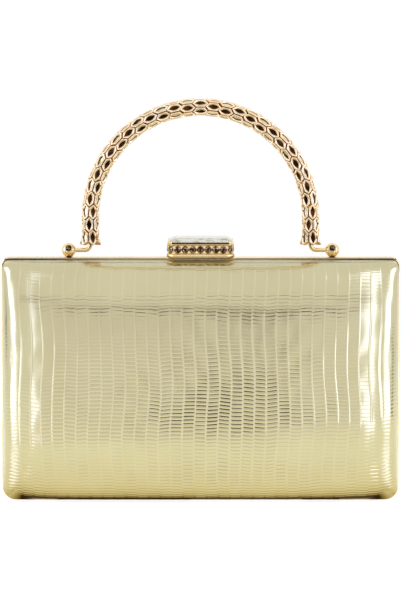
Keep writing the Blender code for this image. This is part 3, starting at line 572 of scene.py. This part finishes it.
def foil_cover(half, side, seed):
    """An embossed skin with a wall round it, which turns in over the shell's rim. Its shading follows the relief's
    slopes, which are finer than the mesh."""
    across, up, height, slope_across, slope_up, seam = embossing(seed, -side)
    points = pillow(across, up, side)
    step = 0.03
    along_across = unit(pillow(across + step, up, side) - pillow(across - step, up, side))
    along_up = unit(pillow(across, up + step, side) - pillow(across, up - step, side))
    normal = unit(np.cross(along_across, along_up)) * -side
    points = points + normal * height[..., None]
    shading = unit(normal - along_across * slope_across[..., None] - along_up * slope_up[..., None])
    faces, edge = grid_faces(*points.shape[:2])
    flat = points.reshape(-1, 3)
    rim = flat[edge]
    middle = np.array((0, 0, COVER_MIDDLE))
    size = np.array((HALF_WIDTH, 1, HALF_HEIGHT))
    outward = unit((rim - middle) * (1, 0, 1) * (np.abs((rim - middle) / size) > 0.94))
    skirt, skirt_normals = [], []
    for depth, inset in ((SHOULDER - 1.5, 0), (COVER_START + 0.1, 0), (COVER_START, 0.1),
                         (COVER_START, COVER_WALL), (SHOULDER, COVER_WALL)):
        level = (rim - middle) * (1 - inset / size) + middle
        level[:, 1] = side * depth
        skirt.append(level)
        facing = (0, -side, 0) if inset else (0, 0, 0)
        skirt_normals.append(unit(outward * (0.2 if inset else 1) + facing))
    count = len(edge)
    loops = [edge] + [len(flat) + k * count + np.arange(count) for k in range(len(skirt))]
    faces = np.concatenate([faces] + bands(loops))
    if side > 0:
        faces = faces[:, ::-1]
    mesh = bpy.data.meshes.new(f"{half}_foil_cover")
    mesh.from_pydata((np.concatenate([flat] + skirt) * MM).tolist(), [], faces.tolist())
    mesh.materials.append(foil)
    # Where the foil's colour is painted paler as a highlight, along its seams and rolled top edge
    seam_shares = mesh.attributes.new("seam", "FLOAT", "POINT")
    seam_shares.data.foreach_set("value", np.concatenate((seam.ravel(), np.zeros(count * len(skirt)))))
    mesh.shade_smooth()
    mesh.normals_split_custom_set_from_vertices(np.concatenate([shading.reshape(-1, 3)] + skirt_normals).tolist())
    mounted(mesh, f"{half}_half", [f"{half}_cover"])


foil_cover("front", -1, 7)
foil_cover("rear", 1, 11)


# Satin linings

def lining(half, side):
    """A satin tray: a softly creased inner face, a plain back, and a rolled rim between them."""
    skins = []
    for inset, creased in ((LINING_INSET, False), (LINING_INSET + LINING_WALL, True)):
        shares = np.linspace(-1, 1, LINING_LINES), np.linspace(-1, 1, LINING_ROWS)
        across, up = np.meshgrid(*(np.sign(share) * (1 - (1 - np.abs(share)) ** 1.6) for share in shares))
        swell = pillow_swell(across, up)
        depth = SHOULDER + (CROWN - inset) * swell
        if creased:
            crease = np.sin(across * 23 + 3 * np.sin(up * 5)) * np.sin(up * 9 + 2 * np.sin(across * 4))
            fan = np.sin(np.arctan2(up, across) * 44) * (np.abs(across * up) ** 1.5)
            depth = depth - (0.1 * crease + 0.22 * fan + 0.12) * swell
        x, z = rounded_corner(across * HALF_WIDTH, up * HALF_HEIGHT)
        x = x * (HALF_WIDTH - inset) / HALF_WIDTH
        z = z * (HALF_HEIGHT - inset) / HALF_HEIGHT
        skins.append(np.stack((x, side * depth, z + COVER_MIDDLE), axis=-1).reshape(-1, 3))
    outer, inner = skins
    quads, edge = grid_faces(LINING_ROWS, LINING_LINES)
    points = [outer, inner]
    faces = [quads, quads[:, ::-1] + len(outer)]
    loops = [edge]
    start = 2 * len(outer)
    for share, lift in ((0, 0.2), (0, 0.05), (0.25, 0), (0.75, 0), (1, 0.05), (1, 0.2)):
        level = outer[edge] * (1 - share) + inner[edge] * share
        level[:, 1] = side * (COVER_START + lift)
        points.append(level)
        loops.append(start + np.arange(len(edge)))
        start += len(edge)
    loops.append(edge + len(outer))
    faces += [band[:, ::-1] for band in bands(loops)]
    shape = Shape()
    shape.add(np.concatenate(points).tolist(), np.concatenate(faces).tolist())
    obj = shape.piece(f"{half}_satin_lining", f"{half}_half", "beige_satin", [satin], [f"{half}_lining"])


lining("front", -1)
lining("rear", 1)


# Frames, shells and the small parts that keep their own shape

def dress(node, material, rounding=0.0):
    """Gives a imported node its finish, with edges rounded by a width in millimetres and smooth shading."""
    obj = nodes[node]
    obj.data.materials.clear()
    obj.data.materials.append(material)
    weld = obj.modifiers.new("weld", "WELD")
    weld.merge_threshold = 0.002 * MM
    if rounding:
        bevel = obj.modifiers.new("rounded edges", "BEVEL")
        bevel.width = rounding * MM
        bevel.segments = 2
        bevel.limit_method = "ANGLE"
        bevel.angle_limit = radians(30)
        bevel.harden_normals = True
    obj.data.shade_smooth()


for half in ("front", "rear"):
    dress(f"{half}_frame", frame_material(half), 0.07)
    dress(f"{half}_shell", moulded)
for word in ("left", "right"):
    for part, material, rounding in (("hinge_rear_leaf", gold, 0.08), ("hinge_front_leaf", gold, 0.08),
                                     ("hinge_pin", steel, 0.06), ("post_nut", steel, 0.12)):
        dress(f"{word}_{part}", material, rounding)
dress("clasp_bracket", gold, 0.12)
dress("clasp_pivot_pin", steel, 0.1)
dress("front_catch", steel, 0.05)


# Handle posts, their stones and the wire core

def handle_post(word, centre, bottom):
    """A ball bored towards the leg, on a collar, with a cup for its stone and a stem down through the frame."""
    shape = Shape()
    inward = ACROSS * -copysign(1, centre.x)
    bore = CORE_RADIUS + BORE_ROOM
    mouth = asin((bore + BORE_ROOM / 2) / BALL_RADIUS)
    end = BALL_RADIUS - BORE_DEPTH
    profile = [(0, end), (bore, end), (bore, BALL_RADIUS * cos(mouth) - 0.25)]
    for step in range(25):
        angle = mouth + (pi - mouth) * step / 24
        profile.append((max(BALL_RADIUS * sin(angle), 0), BALL_RADIUS * cos(angle)))
    turned(shape, centre, inward, FORWARD, profile, 48, caps=False)
    # The collar and stem take the dark brown gold of painted shade
    stem = [(radius, lift - COLLAR_DROP) for radius, lift in (
        (STEM_RADIUS, 0), (2.05, 0), (2.2, 0.1), (2.25, 0.3), (2.15, 0.5), (1.85, 0.62), (1.6, 0.8))]
    turned(shape, centre, UP, ACROSS, [(STEM_RADIUS, bottom - centre.z)] + stem, 40, 1)
    angles = [2 * pi * step / 10 for step in range(10)]
    cup = [(1.78 + 0.2 * cos(angle), 3.18 + 0.24 * sin(angle)) for angle in angles]
    turned(shape, centre, STONE_FACING, ACROSS, cup, 40, closed=True)
    bends = [pi * (k + 0.02) / 4.04 for k in range(5)]
    bead = [(0.24 * sin(bend), 0.24 * cos(bend)) for bend in bends]
    for place in ring(centre + STONE_FACING * 3.42, ACROSS, ACROSS.cross(STONE_FACING), 1.62, 6, 0.5):
        turned(shape, place, STONE_FACING, ACROSS, bead, 10)
    shape.piece(f"{word}_ball_post", "rear_half", "polished_gold_plate", [gold, collar_painted_shade_gold], [f"{word}_handle_post"],
                sharp=50)


def cut_stone(shape, centre, facing, across, radius, girdle, crown, table_share, sides):
    """A round cut stone: girdle, two rows of crown facets set half a step apart, and a flat table."""
    other = facing.cross(across)
    levels = ((-girdle, radius * 0.7, 0), (0, radius, 0), (girdle * 0.3, radius, 0),
              (girdle * 0.3 + crown * 0.55, radius * (1 + table_share) / 2 * 1.02, 0.5),
              (girdle * 0.3 + crown, radius * table_share, 0))
    points = [point for lift, size, turn in levels
              for point in ring(centre + facing * lift, across, other, size, sides, turn)]
    low, girdle_row, crown_row, table_row = (sides * level for level in (1, 2, 3, 4))
    faces = [tuple(range(sides)), tuple(table_row + i for i in range(sides))]
    for i in range(sides):
        j, h = (i + 1) % sides, (i - 1) % sides
        faces += [(i, j, low + j, low + i), (low + i, low + j, girdle_row + j, girdle_row + i),
                  (girdle_row + i, girdle_row + j, crown_row + i), (girdle_row + i, crown_row + i, crown_row + h),
                  (crown_row + i, table_row + j, table_row + i), (crown_row + h, crown_row + i, table_row + i)]
    shape.add(points, faces)


for word in ("left", "right"):
    low, high = box(f"{word}_handle_post")
    centre = Vector(((low.x + high.x) / 2, HANDLE_AXIS.y, HANDLE_AXIS.z))
    handle_post(word, centre, low.z)
    shape = Shape()
    cut_stone(shape, centre + STONE_FACING * 3.28, STONE_FACING, ACROSS, POST_STONE_RADIUS, 0.5, 0.6, 0.58, 10)
    shape.piece(f"{word}_smoky_post_stone", "rear_half", "smoky_rhinestone", [dark_stone], [f"{word}_post_stone"],
                sharp=1)


def arch_place(distance):
    """Centre and direction of the chain tube, by the distance along it from its left end."""
    if distance < LEG_LENGTH:
        return Vector((-ARCH_RADIUS, 0, TUBE_START + distance)), UP
    angle = (distance - LEG_LENGTH) / ARCH_RADIUS
    if angle > pi:
        return Vector((ARCH_RADIUS, 0, TUBE_START + TUBE_LENGTH - distance)), -UP
    return (Vector((-ARCH_RADIUS * cos(angle), 0, ARCH_RISE + ARCH_RADIUS * sin(angle))),
            Vector((sin(angle), 0, cos(angle))))


def handle_wire():
    """The core wire: out of one ball, round a tight bend, over the arch and into the other ball."""
    path = [Vector((CORE_LOW.x, 0, 0)), Vector((-ARCH_RADIUS - BEND_RADIUS - 4, 0, 0))]
    corner = Vector((-ARCH_RADIUS - BEND_RADIUS, 0, BEND_RADIUS))
    angles = [pi / 2 * step / 12 for step in range(13)]
    path += [corner + Vector((sin(angle), 0, -cos(angle))) * BEND_RADIUS for angle in angles]
    path.append(arch_place(LEG_LENGTH * 0.5)[0])
    path += [arch_place(LEG_LENGTH + pi / 2 * ARCH_RADIUS * step / 36)[0] for step in range(37)]
    path += [Vector((-point.x, 0, point.z)) for point in reversed(path[:-1])]
    shape = Shape()
    shape.rings([ring(HANDLE_AXIS + point, FORWARD, along.cross(FORWARD), CORE_RADIUS, 24)
                 for point, along in zip(path, headings(path))])
    shape.piece("handle_wire", "handle", "polished_gold_plate", [gold], ["handle_core"], sharp=50)


handle_wire()


# Chain links

CELL_HALF_WIDTH = pi / PETAL_COUNT * PETAL_CREST
CELL_TIP = LINK_PITCH - PETAL_SIDE
CELL_STATIONS = (-1, -0.8, -0.55, -0.28, 0, 0.28, 0.55, 0.8, 1)

# A cell's loops from its floor over its raised rim to its middle, which carries a painted dark reflection: distance in
# from the cell's gap, distance from the core's middle, how far the outline is an almond, material
CELL_LOOPS = ((0, 1.95, 0, 1), (0, 3.78, 0, 1), (0.1, 4.1, 0, 1), (0.23, 4.31, 0, 1), (0.36, 4.41, 0.1, 0),
              (0.49, 4.33, 0.4, 0), (0.59, 4.03, 0.85, 0), (0.66, 3.74, 1, 1), (0.71, 3.6, 1, 2), (1.3, 3.42, 1, 2))

# The sleeve inside a link: distance from the core's middle, and share of the half length
SLEEVE = ((1.5, -1), (1.5, 0), (1.5, 1), (1.9, 1), (2.05, 0.94), (2.05, 0), (2.05, -0.94), (1.9, -1))
TWIST_LINKS, TWIST_DEGREES = (1, 12, 22, 31), (10, 6, 77, 108)


def cell_loop(inset, almond):
    """A cell's outline as places along and half widths: the pointed hexagon of the chain's honeycomb where almond is
    0, and an almond where it is 1."""
    width = CELL_HALF_WIDTH - inset
    lean = atan2(CELL_HALF_WIDTH, CELL_TIP - PETAL_SIDE)
    tip = CELL_TIP - inset / sin(lean)
    side = tip - width / tan(lean)
    tip_now = tip - almond * 0.15
    there = []
    for share in CELL_STATIONS:
        along = share * tip_now
        straight = min(width, max(tip_now - abs(along), 0) * width / max(tip_now - side, 1e-6))
        curved = width * (1 - abs(share) ** 1.9)
        there.append((along, straight * (1 - almond) + curved * almond))
    return there + [(along, -width) for along, width in reversed(there[1:-1])]


def end_flare(distance):
    """How much the chain's open ends spread sideways, and how much they thin from front to back, which keeps them
    clear of the bag when the handle lies down."""
    from_end = min(distance, TUBE_LENGTH - distance)
    spread = max(0, 1 - max(from_end, -1.5) / FLARE_LENGTH) ** 2
    return 1 + 0.22 * spread, 1 - 0.085 * spread


def chain_point(distance, radius, angle):
    held = min(max(distance, 0), TUBE_LENGTH)
    centre, along = arch_place(held)
    centre = centre + along * (distance - held)
    sideways = along.cross(FORWARD)
    wide, deep = (radius * share for share in end_flare(distance))
    return HANDLE_AXIS + centre + FORWARD * (deep * cos(angle)) + sideways * (wide * sin(angle))


def twist(number):
    """The chain turns on its core, mostly over the top of the arch."""
    return radians(np.interp(number, TWIST_LINKS, TWIST_DEGREES)) + radians(3) * sin(2.2 * number)


def chain_link(index):
    """A ring of raised cells on a sleeve."""
    shape = Shape()
    middle = LINK_PITCH * (index + 0.5)
    turn = pi + (0 if index % 2 else pi / PETAL_COUNT) - twist(index + 1)
    for cell in range(PETAL_COUNT):
        centre_angle = turn + 2 * pi * cell / PETAL_COUNT
        loops = [[chain_point(middle + along, radius, centre_angle + width / PETAL_CREST)
                  for along, width in cell_loop(PETAL_GAP + inset, almond)]
                 for inset, radius, almond, _ in CELL_LOOPS]
        for near, far, (*_, kind) in zip(loops, loops[1:], CELL_LOOPS[1:]):
            shape.rings([near, far], kind, caps=False)
        shape.add(loops[-1], [tuple(range(len(loops[-1])))], 2)
    half = (LINK_PITCH - LINK_ROOM) / 2
    shape.rings([[chain_point(middle + share * half, radius, 2 * pi * i / 24) for i in range(24)]
                 for radius, share in SLEEVE], 1, closed=True)
    return shape


for index in range(LINK_COUNT):
    chain_link(index).piece(f"chain_link_{index + 1:02d}", "handle", "rose_gold_chain", [rim_gold_painted_highlight, link_gold, painted_reflection_floor],
                            [f"handle_link_{index + 1:02d}"], sharp=60, weld=0.001)


# Jewelled clasp

def octagon(inset, z, rounding=0.0):
    """The clasp's long octagon drawn in by an inset, with rounded corners if a radius is given."""
    x, y = CLASP_HALF_LENGTH - inset, CLASP_HALF_DEPTH - inset
    cut = CLASP_CORNER - inset * (2 - sqrt(2))
    side = [(x, cut - y), (x, y - cut), (x - cut, y), (cut - x, y)]
    corners = [Vector((x, y, z)) for x, y in side + [(-x, -y) for x, y in side]]
    if not rounding:
        return corners
    points = []
    reach = rounding * tan(pi / 8)
    for i, corner in enumerate(corners):
        start = corner + (corners[i - 1] - corner).normalized() * reach
        end = corner + (corners[(i + 1) % 8] - corner).normalized() * reach
        for step in range(4):
            share = step / 3
            points.append(start.lerp(corner, share).lerp(corner.lerp(end, share), share))
    return points


def octagon_stack(shape, levels, rounding=0.0, kind=0, closed=False):
    """Skins octagons, each given by its inset and height."""
    shape.rings([octagon(inset, z, rounding) for inset, z in levels], kind, closed)


def rounded_profile(start_z, end_z, inset, edge):
    """Insets and heights round a flange's lower and upper edges, from below to above."""
    bends = [(sin(pi / 2 * step / 4), cos(pi / 2 * step / 4)) for step in range(5)]
    return ([(inset + edge * (1 - sine), start_z + edge * (1 - cosine)) for sine, cosine in bends]
            + [(inset + edge * (1 - cosine), end_z - edge * (1 - sine)) for sine, cosine in bends])


def block(shape, x, y, z):
    shape.rings([lying(x, y, level) for level in z])


def claw(shape, side_x, side_y):
    """Two rounded prongs at each cut corner, bent in over the stone's edge."""
    reach = 1 / sqrt(2)
    outward = Vector((side_x * reach, side_y * reach, 0))
    along = Vector((-side_y * reach, side_x * reach, 0))
    half = CLASP_CORNER / 2
    corner = Vector((side_x * (CLASP_HALF_LENGTH - half), side_y * (CLASP_HALF_DEPTH - half), 0))
    route = ((-0.45, 129.4, 0.5), (-0.1, 130.0, 0.62), (0.02, 130.55, 0.7), (-0.1, 131.05, 0.7),
             (-0.45, 131.5, 0.56), (-0.85, 131.65, 0.3))
    for place in (-0.72, 0.72):
        path = [corner + along * place + outward * out + UP * z for out, z, _ in route]
        shape.rings([ring(point, along, heading.cross(along), radius, 12)
                     for point, heading, (*_, radius) in zip(path, headings(path), route)])


def clasp_bezel():
    """The lever as one casting: its flanges round the waist, the ribs for the pin, the hook, the claws and a rim
    under the stone, dark with painted shade."""
    shape = Shape()
    seat = GEM_SEAT_INSET - 0.3
    octagon_stack(shape, [(CAVITY_INSET, CAVITY_TOP), (CAVITY_INSET, CLASP_BOTTOM),
                          *rounded_profile(CLASP_BOTTOM, BAND_BOTTOM, 0, 0.9),
                          (WAIST_INSET, BAND_BOTTOM), (WAIST_INSET, BAND_TOP),
                          *rounded_profile(BAND_TOP, CLASP_TOP, 0.15, 0.4),
                          (seat, CLASP_TOP), (seat, SEAT_FLOOR)], CLASP_ROUNDING)
    block(shape, (-11.8, -10.2), (0, 4), (124.65, 128.7))
    block(shape, (10.2, 11.8), (0, 4), (124.65, 128.7))
    block(shape, (-5, 5), (-2.7, -1.7), (CLASP_BOTTOM, CAVITY_TOP + 0.1))
    for side_x, side_y in ((-1, -1), (-1, 1), (1, -1), (1, 1)):
        claw(shape, side_x, side_y)
    # A rim under the stone's edge, in a dark painted shade
    octagon_stack(shape, ((2.5, CLASP_TOP - 0.1), (1.25, CLASP_TOP - 0.1),
                          (1.1, CLASP_TOP + 0.4), (2.5, CLASP_TOP + 0.32)), 0.6, 1, True)
    shape.piece("clasp_bezel", "clasp", "polished_gold_plate", [gold, stone_rim_shade], ["clasp_lever"], sharp=38)


def clasp_gem():
    """An emerald-cut crystal over a faceted silver foil."""
    base = CLASP_TOP + 0.42
    glass = Shape()
    octagon_stack(glass, [(GEM_SEAT_INSET + 0.5, SEAT_FLOOR + 0.75), (GEM_SEAT_INSET, base - 0.2)]
                  + [(GEM_INSET + inset, base + lift) for inset, lift in (
                      (0.5, 0), (0, 0.25), (0, 0.55), (0.75, 1.25), (1.75, 1.95), (3.0, 2.52))])
    glass.piece("clasp_cut_crystal", "clasp", "clear_crystal", [crystal], ["clasp_crystal"], sharp=1)
    backing = Shape()
    octagon_stack(backing, [(GEM_SEAT_INSET + inset, SEAT_FLOOR + lift) for inset, lift in (
        (0.9, 0.32), (0, 0.32), (0, 0.45), (0.9, 0.6), (2.0, 0.68))])
    backing.piece("clasp_crystal_foil", "clasp", "clear_crystal", [silver_foil], sharp=1)


def band_cells():
    """Middle, outward direction and width of each of the band's cells, round the octagon."""
    corners = octagon(0.95, (BAND_BOTTOM + BAND_TOP) / 2)
    cells_a_side = (3, 1, 7, 1)
    cells = []
    for i, corner in enumerate(corners):
        after = corners[(i + 1) % 8]
        count = cells_a_side[i % 4]
        run = after - corner
        outward = Vector((run.y, -run.x, 0)).normalized()
        cells += [(corner.lerp(after, (step + 0.5) / count), outward, run.length / count) for step in range(count)]
    return cells


def stone_band():
    """Cup-chain: a cup with four prongs for each stone, on a strip round the bezel's waist."""
    shape = Shape()
    low, high = BAND_BOTTOM + 0.2, BAND_TOP - 0.2
    octagon_stack(shape, [(1.5, low), (1.05, low), (0.95, low + 0.15),
                          (0.95, high - 0.15), (1.05, high), (1.5, high)], 0.6, closed=True)
    stones = Shape()
    for middle, outward, width in band_cells():
        along = UP.cross(outward)
        radius = min(width, high - low) / 2 - 0.03
        wall = [(radius * 0.9, -0.1)] + [(radius + out, lift) for out, lift in (
            (0.03, -0.1), (0.03, 0.12), (-0.03, 0.22), (-0.1, 0.18), (-0.14, 0))]
        turned(shape, middle, outward, along, wall, 28, closed=True)
        for corner in range(4):
            angle = pi / 2 * (corner + 0.5)
            side = along * cos(angle) + UP * sin(angle)
            shape.rings([ring(middle + side * (radius + out) + outward * lift, along, UP, size, 8)
                         for out, lift, size in ((0.1, -0.05, 0.22), (0.1, 0.3, 0.22), (-0.06, 0.45, 0.19),
                                                 (-0.2, 0.48, 0.1))])
        cut_stone(stones, middle + outward * 0.06, outward, along, radius - 0.07, 0.2, 0.6, 0.42, 8)
    shape.piece("clasp_cup_chain", "clasp", "polished_gold_plate", [gold], ["clasp_stone_band"], sharp=50)
    stones.piece("clasp_band_stones", "clasp", "smoky_rhinestone", [stone], sharp=1)


def clasp_spring():
    """A torsion spring of round wire about the pivot pin, one leg below and one above."""
    low, high = box("clasp_pivot_pin")
    axis = (low + high) / 2
    wire, radius, length, leg, turns = 0.25, 1.3, 5, 2.8, 5.5
    steps = round(turns * 28)
    path = [axis + Vector((-length / 2, leg, -radius))]
    for step in range(steps + 1):
        angle = -pi / 2 - 2 * pi * turns * step / steps
        path.append(axis + Vector((length * (step / steps - 0.5), radius * cos(angle), radius * sin(angle))))
    path.append(axis + Vector((length / 2, leg, radius)))
    rings = []
    for point, along in zip(path, headings(path)):
        first = along.cross(ACROSS).normalized()
        rings.append(ring(point, first, along.cross(first), wire, 10))
    shape = Shape()
    shape.rings(rings)
    shape.piece("clasp_torsion_spring", "rear_half", "spring_steel", [steel], ["clasp_spring"], sharp=50)


clasp_bezel()
clasp_gem()
stone_band()
clasp_spring()


# Camera, floor, cards and light

CAMERA_TARGET = Vector((0, -3.6 * MM, 101.5 * MM))
CAMERA_DISTANCE = 1.5
CAMERA_TILT = radians(7)
WORLD_LIGHT = 0.55
FLOOR_GREY = 0.3
FLOOR_CLEARNESS = 0.91
FLOOR_EDGE = (0.2, 0.6)

# The tilted boards' plane meets the foil a little below its top
BOARD_SLOPE = tan(radians(20))
BOARD_THROUGH = (0.0252, 0.1028)


def camera():
    data = bpy.data.cameras.new("camera")
    data.lens = 179.25
    data.sensor_width = 36
    obj = linked("camera", data)
    obj.location = CAMERA_TARGET + Vector((0, -cos(CAMERA_TILT), sin(CAMERA_TILT))) * CAMERA_DISTANCE
    obj.rotation_euler = (CAMERA_TARGET - obj.location).to_track_quat("-Z", "Y").to_euler()
    bpy.context.scene.camera = obj


def background_rays(owner, *more):
    """1 for camera, glossy and transmission rays and those named, and 0 for the rays that light the object."""
    path = add_node(owner, "LightPath", {}, 0).node.outputs
    total = path["Is Camera Ray"]
    for name in ("Is Glossy Ray", "Is Transmission Ray", *more):
        total = arithmetic("MAXIMUM", total, path[name])
    return total


def world():
    scene = bpy.context.scene
    scene.world = bpy.data.worlds.new("studio")
    scene.world.use_nodes = True
    tree = scene.world.node_tree
    shown = tree.nodes["Background"]
    fill(shown, {"Color": (1, 1, 1, 1), "Strength": 1})
    light = add_node(tree, "Background", {"Color": (1, 0.99, 0.97, 1), "Strength": WORLD_LIGHT}, "Background")
    both = add_node(tree, "MixShader", {0: background_rays(tree), 1: light, 2: shown.outputs["Background"]}, "Shader")
    fill(tree.nodes["World Output"], {"Surface": both})


def upright(first, last, low, high):
    """Corners of an upright rectangle over a line from first to last."""
    return [(*first, low), (*last, low), (*last, high), (*first, high)]


def plane(name, corners, material):
    mesh = bpy.data.meshes.new(name)
    mesh.from_pydata(corners, [], [tuple(range(len(corners)))])
    mesh.materials.append(material)
    obj = linked(name, mesh)
    return obj


def floor():
    """A pale floor. It takes the object's shadow near by, and runs out into plain white. The world's white shows
    through it, and so does a half that opens down past it."""
    material, shader = new_material("studio_floor")
    fill(shader, {"Base Color": (FLOOR_GREY, FLOOR_GREY, FLOOR_GREY, 1), "Roughness": 1, "Specular IOR Level": 0})
    passing = background_rays(shader, "Is Shadow Ray")
    clear = add_node(shader, "BsdfTransparent", {"Color": between(passing, 0, FLOOR_CLEARNESS, 0, 1)}, "BSDF")
    near = add_node(shader, "AddShader", {0: shader.outputs["BSDF"], 1: clear}, "Shader")
    far = add_node(shader, "Emission", {"Strength": between(background_rays(shader), 0.5, 1, 0, 1)}, "Emission")
    distance = add_node(shader, "VectorMath", {0: own_space(shader)}, "Value", operation="LENGTH")
    both = add_node(shader, "MixShader", {0: between(distance, 0, 1, *FLOOR_EDGE), 1: near, 2: far}, "Shader")
    fill(material.node_tree.nodes["Material Output"], {"Surface": both})
    plane("floor", lying((-6, 6), (-6, 6), 0), material)


def card(name, corners, shade, strength=1.0, thickness=0.0):
    """A studio card that only reflections show. shade is its colour, as light."""
    material, shader = new_material(name)
    glow = add_node(shader, "Emission", {"Color": (*shade, 1), "Strength": strength}, "Emission")
    material.node_tree.nodes.remove(shader)
    fill(material.node_tree.nodes["Material Output"], {"Surface": glow})
    obj = plane(name, corners, material)
    if thickness:
        solid = obj.modifiers.new("thickness", "SOLIDIFY")
        solid.thickness = thickness
        solid.offset = 0
    obj.visible_camera = False
    obj.visible_diffuse = False
    obj.visible_shadow = False
    return glow.node


def graded(glow, source, *stops):
    """Colours a card along a length. Each stop is a place in metres and a colour."""
    low, high = stops[0][0], stops[-1][0]
    share = between(source, 0, 1, low, high)
    colour = tint(share, *(((place - low) / (high - low), shade) for place, shade in stops))
    fill(glow, {"Color": colour})


def board(name, near, far, near_half, far_half, shade, lift=0.0, thickness=0.0):
    """A tilted board in front of the object."""
    low, high = (BOARD_THROUGH[1] + BOARD_SLOPE * (distance - BOARD_THROUGH[0]) + lift for distance in (near, far))
    return card(name, [(-near_half, -near, low), (near_half, -near, low), (far_half, -far, high),
                       (-far_half, -far, high)], shade, 1, thickness)


def cards():
    """The cards stand as the photograph's reflections ask."""
    board("dark_board", 0.095, 0.5, 0.13, 0.26, (0.03, 0.018, 0.009), 0, 0.0012)
    board("board_cover", 0.095, 0.5, 0.13, 0.26, (0.98, 0.98, 0.98), 0.004)
    glow = board("dark_strip", 0.051, 0.086, 0.15, 0.15, BLACK)
    graded(glow, arithmetic("ABSOLUTE", places(glow)[0]), (0, (0.13, 0.095, 0.05)),
           (0.045, (0.1, 0.075, 0.04)), (0.07, (0.02, 0.014, 0.007)), (0.15, (0.01, 0.01, 0.005)))

    glow = card("front_card", upright((-0.37, -0.6), (0.37, -0.6), 0, 0.29), WHITE)
    graded(glow, places(glow)[0], (-0.37, (0.95, 0.93, 0.93)), (-0.01, (0.94, 0.92, 0.92)),
           (0.01, (0.9, 0.88, 0.88)), (0.024, (0.7, 0.68, 0.69)), (0.056, (0.7, 0.69, 0.7)),
           (0.074, (0.96, 0.95, 0.98)), (0.1, (1.0, 0.99, 1.03)), (0.37, (0.98, 0.97, 0.99)))

    # The table's reflection, with the bag's shadow and warm bounce painted on: warm and dark by the bag, pale further
    # off
    glow = card("table_card", lying((-0.45, 0.45), (-0.32, 0.32), 0.0005), WHITE, 1.2)
    x, y, _ = places(glow)
    beside = arithmetic("SUBTRACT", arithmetic("MULTIPLY", arithmetic("ABSOLUTE", x), 0.5), 0.032)
    from_bag = arithmetic("MAXIMUM", arithmetic("ABSOLUTE", y), beside)
    graded(glow, from_bag, (0, (0.5, 0.41, 0.36)), (0.0098, (0.5, 0.41, 0.36)),
           (0.0112, (0.04, 0.022, 0.004)), (0.0135, (0.04, 0.022, 0.004)), (0.0146, (0.34, 0.25, 0.1)),
           (0.0165, (0.66, 0.56, 0.31)), (0.02, (0.82, 0.73, 0.47)), (0.026, (0.9, 0.83, 0.6)),
           (0.036, (0.94, 0.875, 0.69)), (0.067, (0.985, 0.96, 0.84)), (0.122, (1.0, 0.99, 0.91)),
           (0.205, (1.0, 0.98, 0.92)), (0.245, (0.88, 0.85, 0.81)), (0.31, (0.8, 0.79, 0.78)))
    # Strips of painted contact shadow by the bag's foot, which only reflections show
    for low, high in ((-0.072, -0.005), (0.051, 0.07)):
        card("dark_contact", lying((low, high), (-0.0112, -0.003), 0.0007), (0.04, 0.022, 0.004), 1.2)

    for name, first, last, height, low_glow, high_glow in (
            ("left_side_light", (-0.344, -0.002), (-0.344, -0.085), 0.3, 2.7, 3.0),
            ("left_front_light", (-0.243, -0.201), (-0.2245, -0.2165), 0.8, 2.7, 1.9),
            ("right_front_light", (0.219, -0.219), (0.266, -0.176), 0.8, 2.6, 2.3),
            ("right_side_light", (0.344, -0.094), (0.344, -0.006), 0.3, 2.6, 2.5)):
        glow = card(name, upright(first, last, 0.001, height), (0.93, 0.98, 1.36))
        fill(glow, {"Strength": between(places(glow)[2], low_glow, high_glow, 0.03, 0.11)})
    for name, side in (("left_low_light", -1), ("right_low_light", 1)):
        corners = ((0.11, -0.019), (0.11, -0.03), (0.23, -0.066), (0.23, -0.016))
        card(name, [(side * x, y, 0.0015) for x, y in corners], (0.97, 1.0, 1.19), 1.75)
    card("top_light", lying((-0.6, 0.6), (0.9, 1.7), 0.5), WHITE, 1.3)

    # Shade along the foil's top edge and down its sides
    glow = card("lip_shade", lying((-0.0985, 0.0985), (-0.005, -0.0027), 0.1262), BLACK)
    graded(glow, arithmetic("ABSOLUTE", places(glow)[0]), (0, (0.1, 0.085, 0.06)),
           (0.06, (0.06, 0.05, 0.035)), (0.074, (0.005, 0.004, 0.002)), (0.0985, (0.002, 0.002, 0.001)))
    for name, first, last, low, high in (("left_dark_edge", (-0.373, 0.118), (-0.362, 0.138), 0.045, 0.08),
                                         ("right_dark_edge", (0.385, 0.062), (0.38, 0.104), 0.01, 0.045)):
        card(name, upright(first, last, low, high), (0.05, 0.05, 0.02))


def lamp(name, location, size, power, colour):
    """A soft lamp, aimed at the object's middle, that reflections don't show."""
    data = bpy.data.lights.new(name, "AREA")
    data.shape = "RECTANGLE"
    data.size, data.size_y = size
    data.energy = power
    data.color = colour
    obj = linked(name, data)
    obj.location = location
    obj.rotation_euler = (Vector((0, 0, 0.09)) - Vector(location)).to_track_quat("-Z", "Y").to_euler()
    obj.visible_glossy = False
    obj.visible_transmission = False


camera()
world()
floor()
cards()
lamp("key_lamp", (-0.75, -0.95, 1.05), (0.9, 0.7), 9, (1, 0.98, 0.95))
lamp("fill_lamp", (0.85, -0.85, 0.75), (0.9, 0.7), 6, (1, 0.98, 0.96))
lamp("back_lamp", (0.1, 1.0, 0.95), (1.2, 0.6), 5, (0.98, 0.99, 1))
bpy.context.scene.view_settings.view_transform = "Standard"
